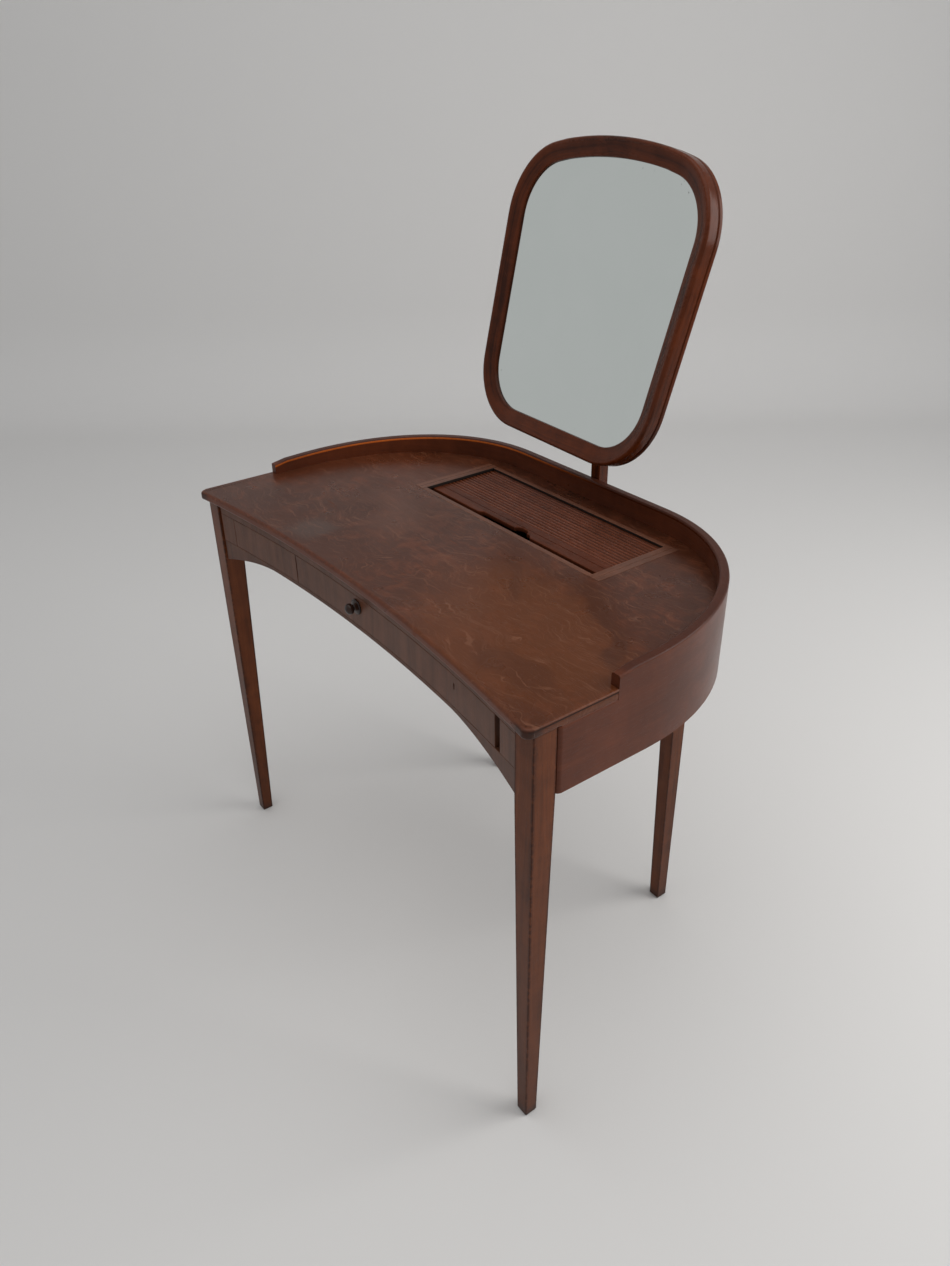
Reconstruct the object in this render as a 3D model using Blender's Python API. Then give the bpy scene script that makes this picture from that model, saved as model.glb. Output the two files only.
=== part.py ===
# Dressing table with concave front, gallery, tambour top, frieze drawer and swing mirror.
# Metres, +Z up, +X to the sitter's right, +Y towards the back.
import math
import bmesh
import bpy
from mathutils import Matrix, Vector

for old in list(bpy.data.objects):
    bpy.data.objects.remove(old, do_unlink=True)

# ---- driving dimensions -------------------------------------------------------------
Y0 = -0.2727                # world Y of the line through the two front corners of the top
GAP = 0.0003                # clearance left between pieces that touch
TOP_Z = 0.700               # top surface of the table
TOP_T = 0.014
UNDER_Z = TOP_Z - TOP_T
TOP_HALF = 0.4412
SAG = 0.0345                # how deep the front curve runs in at the middle
CORNER_R = 0.012
SKIN_X = 0.4400             # outer face of the side band
SKIN_BACK = 0.506
SKIN_STRAIGHT = 0.19        # where the side band starts to curve
SKIN_A, SKIN_B, SKIN_N = 0.280, 0.316, 2.1
SKIN_T = 0.014
BAND_Z = 0.588
GAL_FRONT_Y = 0.140
GAL_FRONT_Z, GAL_BACK_Z = 0.7203, 0.7333

APRON_SET = 0.012           # apron face behind the edge of the top
RAIL_T = 0.022
RAIL_END = 0.4018
OPEN_TOP, OPEN_BOT = 0.6674, 0.6173
APRON_LOW, APRON_FLAT = 0.6112, 0.245
BRACKET_LOW = 0.5795
OPEN_L, OPEN_R = -0.3613, 0.3652

LEG_OUT, LEG_FRONT = 0.4368, 0.0148
FOOT_OUT = 0.4345
LEG_W, LEG_D, FOOT = 0.0347, 0.035, 0.020
BLEG_OUT, BLEG_BACK = 0.2500, 0.4965
BLEG_LEFT_BACK = 0.0080      # the left back leg stands this much further back

DR_L, DR_R = -0.3606, 0.3540
DR_T, DR_SIDE, DR_BACK = 0.018, 0.3465, 0.285
DR_Z0, DR_Z1 = 0.6178, 0.6669
KNOB_Z, KNOB_R = 0.6495, 0.0084

HOLE_X, HOLE_Y0, HOLE_Y1 = 0.2065, 0.3125, 0.4555
LIP, TRACK_W = 0.0085, 0.022
SLAT_X, SLAT_Z0, SLAT_Z1 = 0.2113, 0.6880, 0.6952
LEAD_Y0, LEAD_Y1, PITCH, SLATS = 0.3267, 0.3575, 0.0074, 15
NOTCH_X, NOTCH_W, NOTCH_D = -0.015, 0.136, 0.0065
SCOOP_X, SCOOP_W, SCOOP_D = 0.021, 0.030, 0.0085

POST_W, POST_Y0, POST_D = 0.020, 0.5064, 0.020
POST_Z0, POST_Z1 = 0.612, 0.9850
TILT, SWIVEL = math.radians(15.0), math.radians(-3.45)
GLASS_Y, GLASS_Z = 0.448, 0.95
PIVOT_T = 0.090
PIVOT_Y = POST_Y0 + POST_D / 2
FRAME_W, FRAME_FRONT, FRAME_BACK = 0.0265, 0.0115, -0.016
GLASS_SHIFT = 0.0025        # the mirror hangs this far to the right of its pivot

COLOURS = {
    "mahogany": (0.25, 0.085, 0.045), "apron": (0.22, 0.11, 0.075), "dark": (0.05, 0.025, 0.02),
    "lipping": (0.36, 0.16, 0.08), "inner": (0.45, 0.30, 0.17), "brass": (0.55, 0.40, 0.16),
    "glass": (0.72, 0.76, 0.74), "cloth": (0.35, 0.32, 0.26), "steel": (0.45, 0.45, 0.46),
}
METALS = ("brass", "steel", "glass")


def material(name, kind):
    mat = bpy.data.materials.new(name + "_mat")
    mat.use_nodes = True
    sock = mat.node_tree.nodes["Principled BSDF"].inputs
    sock["Base Color"].default_value = (*COLOURS[kind], 1)
    sock["Metallic"].default_value = 1.0 if kind in METALS else 0.0
    sock["Roughness"].default_value = 0.08 if kind == "glass" else 0.42
    return mat


def add(name, bm, kind, origin=None, smooth=False):
    bmesh.ops.translate(bm, verts=bm.verts, vec=(0, Y0, 0))
    bmesh.ops.recalc_face_normals(bm, faces=bm.faces)
    if origin is not None:
        base = Vector((origin[0], origin[1] + Y0, origin[2]))
        bmesh.ops.translate(bm, verts=bm.verts, vec=-base)
    mesh = bpy.data.meshes.new(name)
    bm.to_mesh(mesh)
    bm.free()
    obj = bpy.data.objects.new(name, mesh)
    bpy.context.collection.objects.link(obj)
    if origin is not None:
        obj.location = base
    mesh.materials.append(material(name, kind))
    for face in mesh.polygons:
        face.use_smooth = smooth
    return obj


def loft(rings, closed_path=False):
    """Solid through rings of equal length; the end rings become caps unless the path closes."""
    bm = bmesh.new()
    rows = [[bm.verts.new(p) for p in ring] for ring in rings]
    count = len(rows[0])
    last = len(rows) if closed_path else len(rows) - 1
    for i in range(last):
        a, b = rows[i], rows[(i + 1) % len(rows)]
        for j in range(count):
            k = (j + 1) % count
            bm.faces.new((a[j], a[k], b[k], b[j]))
    if not closed_path:
        bm.faces.new(rows[0][::-1])
        bm.faces.new(rows[-1])
    return bm


def prism(outline, z0, z1):
    return loft([[(x, y, z0) for x, y in outline], [(x, y, z1) for x, y in outline]])


def box(x0, x1, y0, y1, z0, z1):
    return prism([(x0, y0), (x1, y0), (x1, y1), (x0, y1)], z0, z1)


def lathe(profile, steps=32):
    """Solid of revolution about local Z from (radius, height) points with real radii."""
    rings = []
    for r, h in profile:
        rings.append([(r * math.cos(2 * math.pi * k / steps), r * math.sin(2 * math.pi * k / steps), h)
                      for k in range(steps)])
    return loft(rings)


def cut(target, bm, name):
    """Boolean the shape in bm, given in table coordinates, out of the target."""
    tool = add(name, bm, "dark")
    tool.hide_render = True
    tool.display_type = "WIRE"
    mod = target.modifiers.new(name, "BOOLEAN")
    mod.operation = "DIFFERENCE"
    mod.solver = "EXACT"
    mod.object = tool
    bpy.context.view_layer.update()
    graph = bpy.context.evaluated_depsgraph_get()
    mesh = bpy.data.meshes.new_from_object(target.evaluated_get(graph))
    target.modifiers.clear()
    target.data = mesh
    bpy.data.objects.remove(tool, do_unlink=True)
    return target


# ---- plan curves --------------------------------------------------------------------
def front_y(x):
    return SAG * (1 - (x / 0.44) ** 2)


def apron_y(x):
    return APRON_SET + front_y(x)


def skin_path():
    """Outer face of the side and back band, from the right front end round to the left."""
    right = [(SKIN_X, 0.0502), (SKIN_X, GAL_FRONT_Y - 0.0004), (SKIN_X, GAL_FRONT_Y), (SKIN_X, 0.165)]
    cx = SKIN_X - SKIN_A
    for k in range(0, 17):
        t = math.pi / 2 * k / 16
        x = cx + SKIN_A * math.cos(t) ** (2 / SKIN_N)
        y = SKIN_STRAIGHT + SKIN_B * math.sin(t) ** (2 / SKIN_N)
        right.append((x, y))
    right.append((0.08, SKIN_BACK))
    left = [(-x, y) for x, y in reversed(right)]
    return right + left


def normals(path):
    out = []
    for i, (x, y) in enumerate(path):
        a = path[max(i - 1, 0)]
        b = path[min(i + 1, len(path) - 1)]
        dx, dy = b[0] - a[0], b[1] - a[1]
        size = math.hypot(dx, dy)
        out.append((dy / size, -dx / size))
    return out


def inner_path(depth):
    path = skin_path()
    return [(x - nx * depth, y - ny * depth) for (x, y), (nx, ny) in zip(path, normals(path))]


def gallery_z(y):
    f = (y - GAL_FRONT_Y) / (SKIN_BACK - GAL_FRONT_Y)
    return GAL_FRONT_Z + f * (GAL_BACK_Z - GAL_FRONT_Z)


# ---- carcase ------------------------------------------------------------------------
def make_surround():
    rings = []
    path = skin_path()
    c = 0.0016
    for (x, y), (nx, ny) in zip(path, normals(path)):
        top = gallery_z(y) if y > GAL_FRONT_Y - 0.0001 else UNDER_Z - GAP
        ring = []
        for depth, z in ((0, BAND_Z), (0, top - c), (c, top), (SKIN_T - c, top), (SKIN_T, top - c),
                         (SKIN_T, BAND_Z)):
            ring.append((x - nx * depth, y - ny * depth, z))
        rings.append(ring)
    return add("surround", loft(rings), "mahogany")


def top_outline():
    """Points of the top with a weight telling how much each takes part in the edge rounding."""
    pts = []
    half = TOP_HALF
    corner = (half - CORNER_R, front_y(half - CORNER_R) + CORNER_R - 0.0006)
    for k in range(-24, 25):
        x = (half - CORNER_R - 0.002) * k / 24
        pts.append((x, front_y(x), 1.0))
    for k in range(1, 7):
        t = -math.pi / 2 + math.pi / 2 * k / 6
        pts.append((corner[0] + CORNER_R * math.cos(t), corner[1] + CORNER_R * math.sin(t), 1.0))
    pts.append((half, 0.08, 1.0))
    pts.append((half, GAL_FRONT_Y - 0.0008, 1.0))
    inside = [p for p in inner_path(SKIN_T + GAP) if p[1] > GAL_FRONT_Y - 0.0002]
    step = SKIN_X - SKIN_T - GAP
    pts.append((step, GAL_FRONT_Y - 0.0008, 0.0))
    pts.extend((x, y, 0.0) for x, y in inside)
    pts.append((-step, GAL_FRONT_Y - 0.0008, 0.0))
    pts.append((-half, GAL_FRONT_Y - 0.0008, 1.0))
    pts.append((-half, 0.08, 1.0))
    for k in range(5, -1, -1):
        t = -math.pi / 2 + math.pi / 2 * (k + 1) / 6
        pts.append((-corner[0] - CORNER_R * math.cos(t), corner[1] + CORNER_R * math.sin(t), 1.0))
    return pts


def top_ring(pts, inset, z):
    ring = []
    for i, (x, y, w) in enumerate(pts):
        if w == 0.0:
            ring.append((x, y, z))
            continue
        a, b = pts[i - 1], pts[(i + 1) % len(pts)]
        if a[2] == 0.0:
            a = (x, y + 0.01, 1)
        if b[2] == 0.0:
            b = (x, y + 0.01, 1)
        dx, dy = b[0] - a[0], b[1] - a[1]
        size = math.hypot(dx, dy)
        ring.append((x - dy / size * inset, y + dx / size * inset, z))
    return ring


def make_top():
    pts = top_outline()
    steps = ((0.0034, UNDER_Z), (0.0012, UNDER_Z + 0.0013), (0.0002, UNDER_Z + 0.0035), (0.0, UNDER_Z + 0.007),
             (0.0002, TOP_Z - 0.0035), (0.0012, TOP_Z - 0.0013), (0.0034, TOP_Z))
    top = add("tabletop", loft([top_ring(pts, d, z) for d, z in steps]), "mahogany")
    out = HOLE_X + TRACK_W + GAP
    y0, y1 = HOLE_Y0 - LIP - GAP, HOLE_Y1 + LIP + GAP
    cut(top, box(-out, out, y0, y1, UNDER_Z - 0.01, TOP_Z + 0.01), "hole")
    cut(top, box(-0.2121, 0.2121, y1 - 0.001, y1 + 0.05, UNDER_Z - 0.01, 0.6958), "tail_pocket")
    return top


def make_lipping():
    """Strips round the tambour opening; the side ones carry its grooves."""
    z0, z1 = UNDER_Z + 0.0003, TOP_Z + 0.0003
    x = HOLE_X - GAP
    add("lipping_front", box(-x, x, HOLE_Y0 - LIP, HOLE_Y0, z0, z1), "lipping")
    add("lipping_back", box(-x, x, HOLE_Y1, HOLE_Y1 + LIP, 0.6958, z1), "lipping")
    for side, name in ((-1, "left"), (1, "right")):
        pts = [(HOLE_X, 0.6800), (0.2185, 0.6800), (0.2185, z0), (HOLE_X + TRACK_W, z0), (HOLE_X + TRACK_W, z1),
               (HOLE_X, z1), (HOLE_X, 0.6956), (0.2120, 0.6956), (0.2120, 0.6876), (HOLE_X, 0.6876)]
        rings = [[(side * px, y, z) for px, z in pts] for y in (HOLE_Y0 - LIP, HOLE_Y1 + LIP)]
        add("tambour_track_" + name, loft(rings), "lipping")


def arc_slab(x0, x1, z_low, z_high, thick, steps=28, front=apron_y):
    """Upright slab that follows the front curve; z_low and z_high are functions of x."""
    rings = []
    for k in range(steps + 1):
        x = x0 + (x1 - x0) * k / steps
        y = front(x)
        rings.append([(x, y, z_low(x)), (x, y + thick, z_low(x)), (x, y + thick, z_high(x)), (x, y, z_high(x))])
    return loft(rings)


def apron_low(x):
    d = abs(x) - APRON_FLAT
    if d <= 0:
        return APRON_LOW
    f = d / (RAIL_END - APRON_FLAT)
    return APRON_LOW - (APRON_LOW - BRACKET_LOW) * (f ** 1.6)


def make_front():
    left = -RAIL_END + 0.0030
    flat = lambda z: (lambda x: z)
    add("front_rail_top", arc_slab(left, RAIL_END, flat(OPEN_TOP), flat(UNDER_Z - GAP), RAIL_T), "apron")
    add("front_rail_bottom", arc_slab(left, RAIL_END, apron_low, flat(OPEN_BOT), RAIL_T, 40), "apron")
    z0, z1 = OPEN_BOT + GAP, OPEN_TOP - GAP
    add("front_stile_left", arc_slab(left, OPEN_L, flat(z0), flat(z1), RAIL_T, 6), "apron")
    add("front_stile_right", arc_slab(OPEN_R, RAIL_END, flat(z0), flat(z1), RAIL_T, 6), "apron")


def leg_rings(corners_foot, corners_top, z_taper, z_top):
    worn = []
    cx = sum(p[0] for p in corners_foot) / 4
    cy = sum(p[1] for p in corners_foot) / 4
    for x, y in corners_foot:
        worn.append((cx + (x - cx) * 0.86, cy + (y - cy) * 0.86, 0.0))
    rings = [worn, [(x, y, 0.0025) for x, y in corners_foot]]
    rings.append([(x, y, z_taper) for x, y in corners_top])
    rings.append([(x, y, z_top) for x, y in corners_top])
    return rings


def make_legs():
    for side, name in ((-1, "leg_front_left"), (1, "leg_front_right")):
        xo, xi = side * LEG_OUT, side * (LEG_OUT - LEG_W)
        xt, xf = side * FOOT_OUT, side * (FOOT_OUT - FOOT)
        y0, y1, yf = LEG_FRONT, LEG_FRONT + LEG_D, LEG_FRONT + FOOT
        foot = [(xt, y0), (xf, y0), (xf, yf), (xt, yf)]
        top = [(xo, y0), (xi, y0), (xi, y1), (xo, y1)]
        add(name, loft(leg_rings(foot, top, 0.585, UNDER_Z - GAP)), "mahogany")
    for side, name in ((-1, "leg_back_left"), (1, "leg_back_right")):
        xo, xi, xf = side * BLEG_OUT, side * (BLEG_OUT - 0.030), side * (BLEG_OUT - FOOT)
        back = BLEG_BACK + (BLEG_LEFT_BACK if side < 0 else 0)
        y1, y0, yf = back, back - 0.030, back - FOOT
        foot = [(xo, y1), (xf, y1), (xf, yf), (xo, yf)]
        top = [(xo, y1), (xi, y1), (xi, y0), (xo, y0)]
        rings = leg_rings(foot, top, BAND_Z - 0.0012, BAND_Z - 0.0008)
        inner = [(xo, 0.4762), (xi, 0.4762), (xi, 0.4562), (xo, 0.4562)]
        rings.append([(x, y, BAND_Z - 0.0004) for x, y in inner])
        rings.append([(x, y, UNDER_Z - GAP) for x, y in inner])
        add(name, loft(rings), "mahogany")


def make_carcase_inside():
    add("rear_bearer", box(-0.4085, 0.4085, 0.2885, 0.3030, 0.600, UNDER_Z - GAP), "inner")
    for side, name in ((-1, "left"), (1, "right")):
        pts = [(0.3330, 0.606), (0.3585, 0.606), (0.3585, 0.640), (0.3472, 0.640), (0.3472, 0.6175), (0.3330, 0.6175)]
        rings = [[(side * x, y, z) for x, z in pts] for y in (0.0490, 0.2882)]
        add("runner_" + name, loft(rings), "inner")
        tri = [(side * 0.4253, 0.0503), (side * 0.4253, 0.0780), (side * 0.4010, 0.0503)]
        add("corner_block_" + name, prism(tri, 0.600, 0.680), "inner")


def make_well():
    z0 = 0.6230
    y0, y1 = HOLE_Y0 - LIP, 0.4625
    ends = HOLE_X - GAP
    add("well_front", box(-ends, ends, y0, y0 + 0.008, z0, UNDER_Z - GAP), "inner")
    add("well_back", box(-ends, ends, HOLE_Y1, y1, z0, 0.6868), "inner")
    add("well_bottom", box(-0.2185, 0.2185, y0, y1, 0.6175, z0 - GAP), "inner")
    add("well_side_left", box(-0.2185, -HOLE_X, y0, y1, z0, 0.6797), "inner")
    add("well_side_right", box(HOLE_X, 0.2185, y0, y1, z0, 0.6797), "inner")


# ---- drawer -------------------------------------------------------------------------
def make_drawer():
    flat = lambda z: (lambda x: z)
    front = add("drawer_front", arc_slab(DR_L, DR_R, flat(DR_Z0), flat(DR_Z1), DR_T, 32), "apron")
    y = apron_y(0.175)
    cut(front, box(-0.1759, -0.1741, y - 0.01, y + 0.005, DR_Z0 - 0.01, DR_Z1 + 0.01), "split")
    y = apron_y(0.2565)
    cut(front, box(0.2549, 0.2581, y - 0.01, y + 0.007, 0.6448, 0.6560), "keyhole")
    x0 = DR_SIDE - 0.008
    y0 = apron_y(x0) + DR_T + 0.0006
    for side, name in ((-1, "left"), (1, "right")):
        xs = sorted((side * x0, side * DR_SIDE))
        add("drawer_side_" + name, box(xs[0], xs[1], y0, DR_BACK, 0.6182, 0.6640), "inner")
    add("drawer_back", box(-x0 + GAP, x0 - GAP, 0.2770, DR_BACK, 0.6182, 0.6600), "inner")
    pts = []
    for k in range(29):
        x = (x0 - GAP) * (2 * k / 28 - 1)
        pts.append((x, apron_y(x) + DR_T + 0.0004))
    pts.extend([(x0 - GAP, 0.2767), (-x0 + GAP, 0.2767)])
    add("drawer_bottom", prism(pts, 0.6205, 0.6255), "inner")
    make_knob()


def make_knob():
    r = KNOB_R
    prof = [(0.0117, 0.0), (0.0121, 0.0008), (0.0119, 0.0018), (0.0104, 0.0028), (0.0070, 0.0036), (0.0046, 0.0050),
            (0.0042, 0.0064)]
    for k in range(0, 12):
        t = -1.02 + (math.pi / 2 + 0.9) * k / 11
        prof.append((r * math.cos(t), 0.0066 + r * 0.78 * (math.sin(1.02) + math.sin(t))))
    bm = lathe(prof, 36)
    turn = Matrix.Translation((0, apron_y(0) - 0.0001, KNOB_Z)) @ Matrix.Rotation(math.pi / 2, 4, "X")
    bmesh.ops.transform(bm, matrix=turn, verts=bm.verts)
    add("knob", bm, "dark", smooth=True)


# ---- tambour ------------------------------------------------------------------------
def lead_edge(x):
    """Front edge of the lead slat: a long shallow finger notch with a deeper scoop in it."""
    d = (abs(x - NOTCH_X) - NOTCH_W / 2) / 0.012
    shallow = 1.0 if d < -1 else (0.0 if d > 0 else (math.sin(math.pi * (-d - 0.5)) + 1) / 2)
    e = abs(x - SCOOP_X) / (SCOOP_W / 2)
    scoop = math.sqrt(1 - e * e) if e < 1 else 0.0
    return LEAD_Y0 + NOTCH_D * shallow + SCOOP_D * scoop


def make_tambour():
    xs = [-SLAT_X, -0.0835]
    xs += [-0.0830 + 0.0015 * k for k in range(0, 9)]
    xs += [-0.060, -0.030, 0.0]
    xs += [SCOOP_X - SCOOP_W / 2 * math.cos(math.pi * k / 14) for k in range(0, 15)]
    xs += [0.0410 + 0.0015 * k for k in range(0, 9)]
    xs.append(SLAT_X)
    pts = [(x, lead_edge(x)) for x in xs] + [(SLAT_X, LEAD_Y1), (-SLAT_X, LEAD_Y1)]
    lead = add("tambour_lead", prism(pts, SLAT_Z0, SLAT_Z1), "mahogany")
    cut(lead, box(-0.3, 0.3, 0.3438, 0.3446, SLAT_Z1 - 0.0014, SLAT_Z1 + 0.01), "lead_line")
    for n in range(SLATS):
        y0 = LEAD_Y1 + GAP + n * PITCH
        w = PITCH - GAP
        prof = [(0, 0), (w, 0), (w, 0.0036), (w * 0.9, 0.0056), (w * 0.72, 0.0068), (w * 0.5, 0.0072),
                (w * 0.28, 0.0068), (w * 0.1, 0.0056), (0, 0.0036)]
        rings = [[(x, y0 + a, SLAT_Z0 + b) for a, b in prof] for x in (-SLAT_X, SLAT_X)]
        add("tambour_slat_%02d" % (n + 1), loft(rings), "mahogany")
    end = LEAD_Y1 + SLATS * PITCH
    add("tambour_cloth", box(-0.2055, 0.2055, LEAD_Y0 + 0.019, end - 0.001, 0.6871, 0.6877), "cloth")


# ---- mirror -------------------------------------------------------------------------
def rounded(points):
    """Closed outline from (x, y, radius) corners."""
    out = []
    count = len(points)
    for i, (x, y, r) in enumerate(points):
        if r == 0:
            out.append((x, y))
            continue
        p = Vector((x, y))
        a = (Vector(points[i - 1][:2]) - p).normalized()
        b = (Vector(points[(i + 1) % count][:2]) - p).normalized()
        half = math.acos(max(-1, min(1, a.dot(b)))) / 2
        centre = p + (a + b).normalized() * (r / math.sin(half))
        start = p + a * (r / math.tan(half)) - centre
        end = p + b * (r / math.tan(half)) - centre
        turn = start.angle_signed(end)
        for k in range(10):
            t = -turn * k / 9
            c, s = math.cos(t), math.sin(t)
            out.append((centre.x + start.x * c - start.y * s, centre.y + start.x * s + start.y * c))
    return out


def glass_outline():
    arch = 0.689
    top = [(s, 0.265 - s * s / (2 * arch), 0) for s in (0.105, 0.07, 0.035, 0.0, -0.035, -0.07, -0.105)]
    pts = rounded([(-0.1733, -0.117, 0.074), (0.1733, -0.117, 0.074), (0.1932, 0.2385, 0.078)] + top
                  + [(-0.1932, 0.2385, 0.078)])
    return [(x + GLASS_SHIFT, y) for x, y in pts]


def grow(outline, d):
    out = []
    count = len(outline)
    for i, (x, y) in enumerate(outline):
        a, b = outline[i - 1], outline[(i + 1) % count]
        dx, dy = b[0] - a[0], b[1] - a[1]
        size = math.hypot(dx, dy)
        out.append((x + dy / size * d, y - dx / size * d))
    return out


def pivot_n():
    return -(PIVOT_Y - GLASS_Y - PIVOT_T * math.sin(TILT)) / math.cos(TILT)


def mirror_matrix():
    """From (s, t, n) in the plane of the glass to table coordinates at the rest pose."""
    pivot_z = GLASS_Z + PIVOT_T * math.cos(TILT) + pivot_n() * math.sin(TILT)
    base = Matrix.Translation((0, PIVOT_Y, pivot_z)) @ Matrix.Rotation(SWIVEL, 4, "Z")
    lean = Matrix.Rotation(math.pi / 2 - TILT, 4, "X")
    return base @ lean @ Matrix.Translation((0, -PIVOT_T, -pivot_n()))


def place(name, bm, kind, smooth=False):
    bmesh.ops.transform(bm, matrix=mirror_matrix(), verts=bm.verts)
    pivot = mirror_matrix() @ Vector((0, PIVOT_T, pivot_n()))
    return add(name, bm, kind, origin=pivot, smooth=smooth)


def make_mirror():
    base = glass_outline()
    w, f, b = FRAME_W, FRAME_FRONT, FRAME_BACK
    prof = [(0, 0.0003), (0, 0.0028), (0.0012, 0.0040), (w * 0.45, 0.0078), (w * 0.75, f - 0.0006), (w * 0.86, f),
            (w - 0.0012, f - 0.0022), (w, f - 0.0050), (w, -0.006), (w - 0.0015, -0.007), (w - 0.0015, -0.009),
            (w, -0.010), (w, b), (0.0065, b), (0.0065, 0.0003)]
    rings = []
    for i in range(len(base)):
        rings.append([])
    for d, n in prof:
        for i, (s, t) in enumerate(grow(base, d)):
            rings[i].append((s, t, n))
    place("mirror_frame", loft(rings, closed_path=True), "mahogany")
    glass = grow(base, 0.006)
    place("mirror_glass", prism(glass, -0.0040, 0.0), "glass")
    place("mirror_backboard", prism(glass, -0.0100, -0.0043), "inner")


def disc_x(radius, s0, s1, t, n, steps=28):
    """Cylinder along the mirror's s axis."""
    rings = []
    for s in (s0, s1):
        rings.append([(s, t + radius * math.cos(2 * math.pi * k / steps),
                       n + radius * math.sin(2 * math.pi * k / steps)) for k in range(steps)])
    return loft(rings)


def ear(s0, s1, root, tip, radius, steps=12):
    """Flat ear from the plate to a round end about the pivot."""
    pts = [(PIVOT_T + radius, root), (PIVOT_T - radius, root)]
    for k in range(steps + 1):
        a = math.pi + math.pi * k / steps
        pts.append((PIVOT_T + radius * math.cos(a), tip + radius * math.sin(a)))
    return [[(s, t, n) for t, n in pts] for s in (s0, s1)]


def join(target, others):
    for other in others:
        mod = target.modifiers.new("join", "BOOLEAN")
        mod.operation = "UNION"
        mod.solver = "EXACT"
        mod.object = other
        bpy.context.view_layer.update()
        graph = bpy.context.evaluated_depsgraph_get()
        mesh = bpy.data.meshes.new_from_object(target.evaluated_get(graph))
        target.modifiers.clear()
        target.data = mesh
        bpy.data.objects.remove(other, do_unlink=True)
    return target


def cut_local(target, bm, name):
    bmesh.ops.transform(bm, matrix=mirror_matrix(), verts=bm.verts)
    return cut(target, bm, name)


def make_bracket():
    n0, n1, np = -0.0103, -0.0133, pivot_n()
    plate = place("hinge_bracket", loft([[(s, t, n) for s, t in ((-0.026, 0.058), (0.026, 0.058), (0.026, 0.122),
                                                                (-0.026, 0.122))] for n in (n1, n0)]), "brass")
    ears = []
    for s0, s1, tag in ((-0.0106, -0.0066, "a"), (0.0066, 0.0106, "b")):
        ears.append(place("ear_" + tag, loft(ear(s0, s1, n1 + 0.001, np, 0.008)), "brass"))
    join(plate, ears)
    cut_local(plate, disc_x(0.00320, -0.02, 0.02, PIVOT_T, np), "bore")
    rings = []
    for s, r in ((-0.0140, 0.0048), (-0.0135, 0.0056), (-0.0112, 0.0056), (-0.0109, 0.00312), (0.0109, 0.00312),
                 (0.0112, 0.0056), (0.0135, 0.0056), (0.0140, 0.0048)):
        rings.append([(s, PIVOT_T + r * math.cos(2 * math.pi * k / 28), np + r * math.sin(2 * math.pi * k / 28))
                      for k in range(28)])
    place("pivot_pin", loft(rings), "steel")


def make_post():
    w = POST_W / 2
    y0, y1 = POST_Y0, POST_Y0 + POST_D
    post = add("mirror_post", box(-w, w, y0, y1, POST_Z0, POST_Z1), "mahogany")
    for k, z in enumerate((0.632, 0.668)):
        for r, a, b in ((0.0052, y1 - 0.004, y1 + 0.01), (0.0024, y0 - 0.01, y1)):
            cut(post, screw_shape([(r, a), (r, b)], z), "screw_hole")
        prof = [(0.0022, y0 + 0.0004), (0.0022, y1 - 0.0038), (0.0049, y1 - 0.0036), (0.0049, y1 - 0.0012),
                (0.0035, y1 - 0.0004)]
        add("post_screw_" + ("low" if k == 0 else "high"), screw_shape(prof, z), "steel")
    socket = [(0.0098, POST_Z1 + GAP), (0.0098, POST_Z1 + 0.003), (0.0040, POST_Z1 + 0.0031),
              (0.0040, POST_Z1 + 0.0125)]
    bm = lathe(socket, 32)
    bmesh.ops.translate(bm, verts=bm.verts, vec=(0, PIVOT_Y, 0))
    add("swivel_socket", bm, "brass")


def screw_shape(profile, z, steps=24):
    rings = []
    for r, y in profile:
        rings.append([(r * math.cos(2 * math.pi * k / steps), y, z + r * math.sin(2 * math.pi * k / steps))
                      for k in range(steps)])
    return loft(rings)


def make_head():
    """Swivel head: collar on the spindle and a tongue that carries the tilt pin."""
    z0 = POST_Z1 + 0.0034
    top = (mirror_matrix() @ Vector((0, PIVOT_T, pivot_n()))).z
    bm = lathe([(0.0105, z0), (0.0110, z0 + 0.0006), (0.0110, z0 + 0.0106), (0.0100, z0 + 0.0120)], 32)
    turn = Matrix.Translation((0, PIVOT_Y, 0)) @ Matrix.Rotation(SWIVEL, 4, "Z")
    bmesh.ops.transform(bm, matrix=turn, verts=bm.verts)
    head = add("swivel_head", bm, "brass", origin=(0, PIVOT_Y, z0))
    r = 0.0085
    pts = [(r, z0 + 0.010), (r, top)]
    for k in range(1, 12):
        pts.append((r * math.cos(math.pi * k / 12), top + r * math.sin(math.pi * k / 12)))
    pts.extend([(-r, top), (-r, z0 + 0.010)])
    bm = loft([[(x, y, z) for y, z in pts] for x in (-0.0062, 0.0062)])
    bmesh.ops.transform(bm, matrix=turn, verts=bm.verts)
    join(head, [add("tongue", bm, "brass", origin=(0, PIVOT_Y, z0))])
    cut_local(head, disc_x(0.00320, -0.02, 0.02, PIVOT_T, pivot_n()), "bore")
    bm = lathe([(0.00406, z0 - 0.01), (0.00406, z0 + 0.0098)], 32)
    bmesh.ops.translate(bm, verts=bm.verts, vec=(0, PIVOT_Y, 0))
    cut(head, bm, "spindle_bore")


make_surround()
make_top()
make_lipping()
make_front()
make_legs()
make_carcase_inside()
make_well()
make_drawer()
make_tambour()
make_mirror()
make_bracket()
make_post()
make_head()
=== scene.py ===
import math

import bmesh
import bpy
from mathutils import Matrix, Vector


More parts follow.
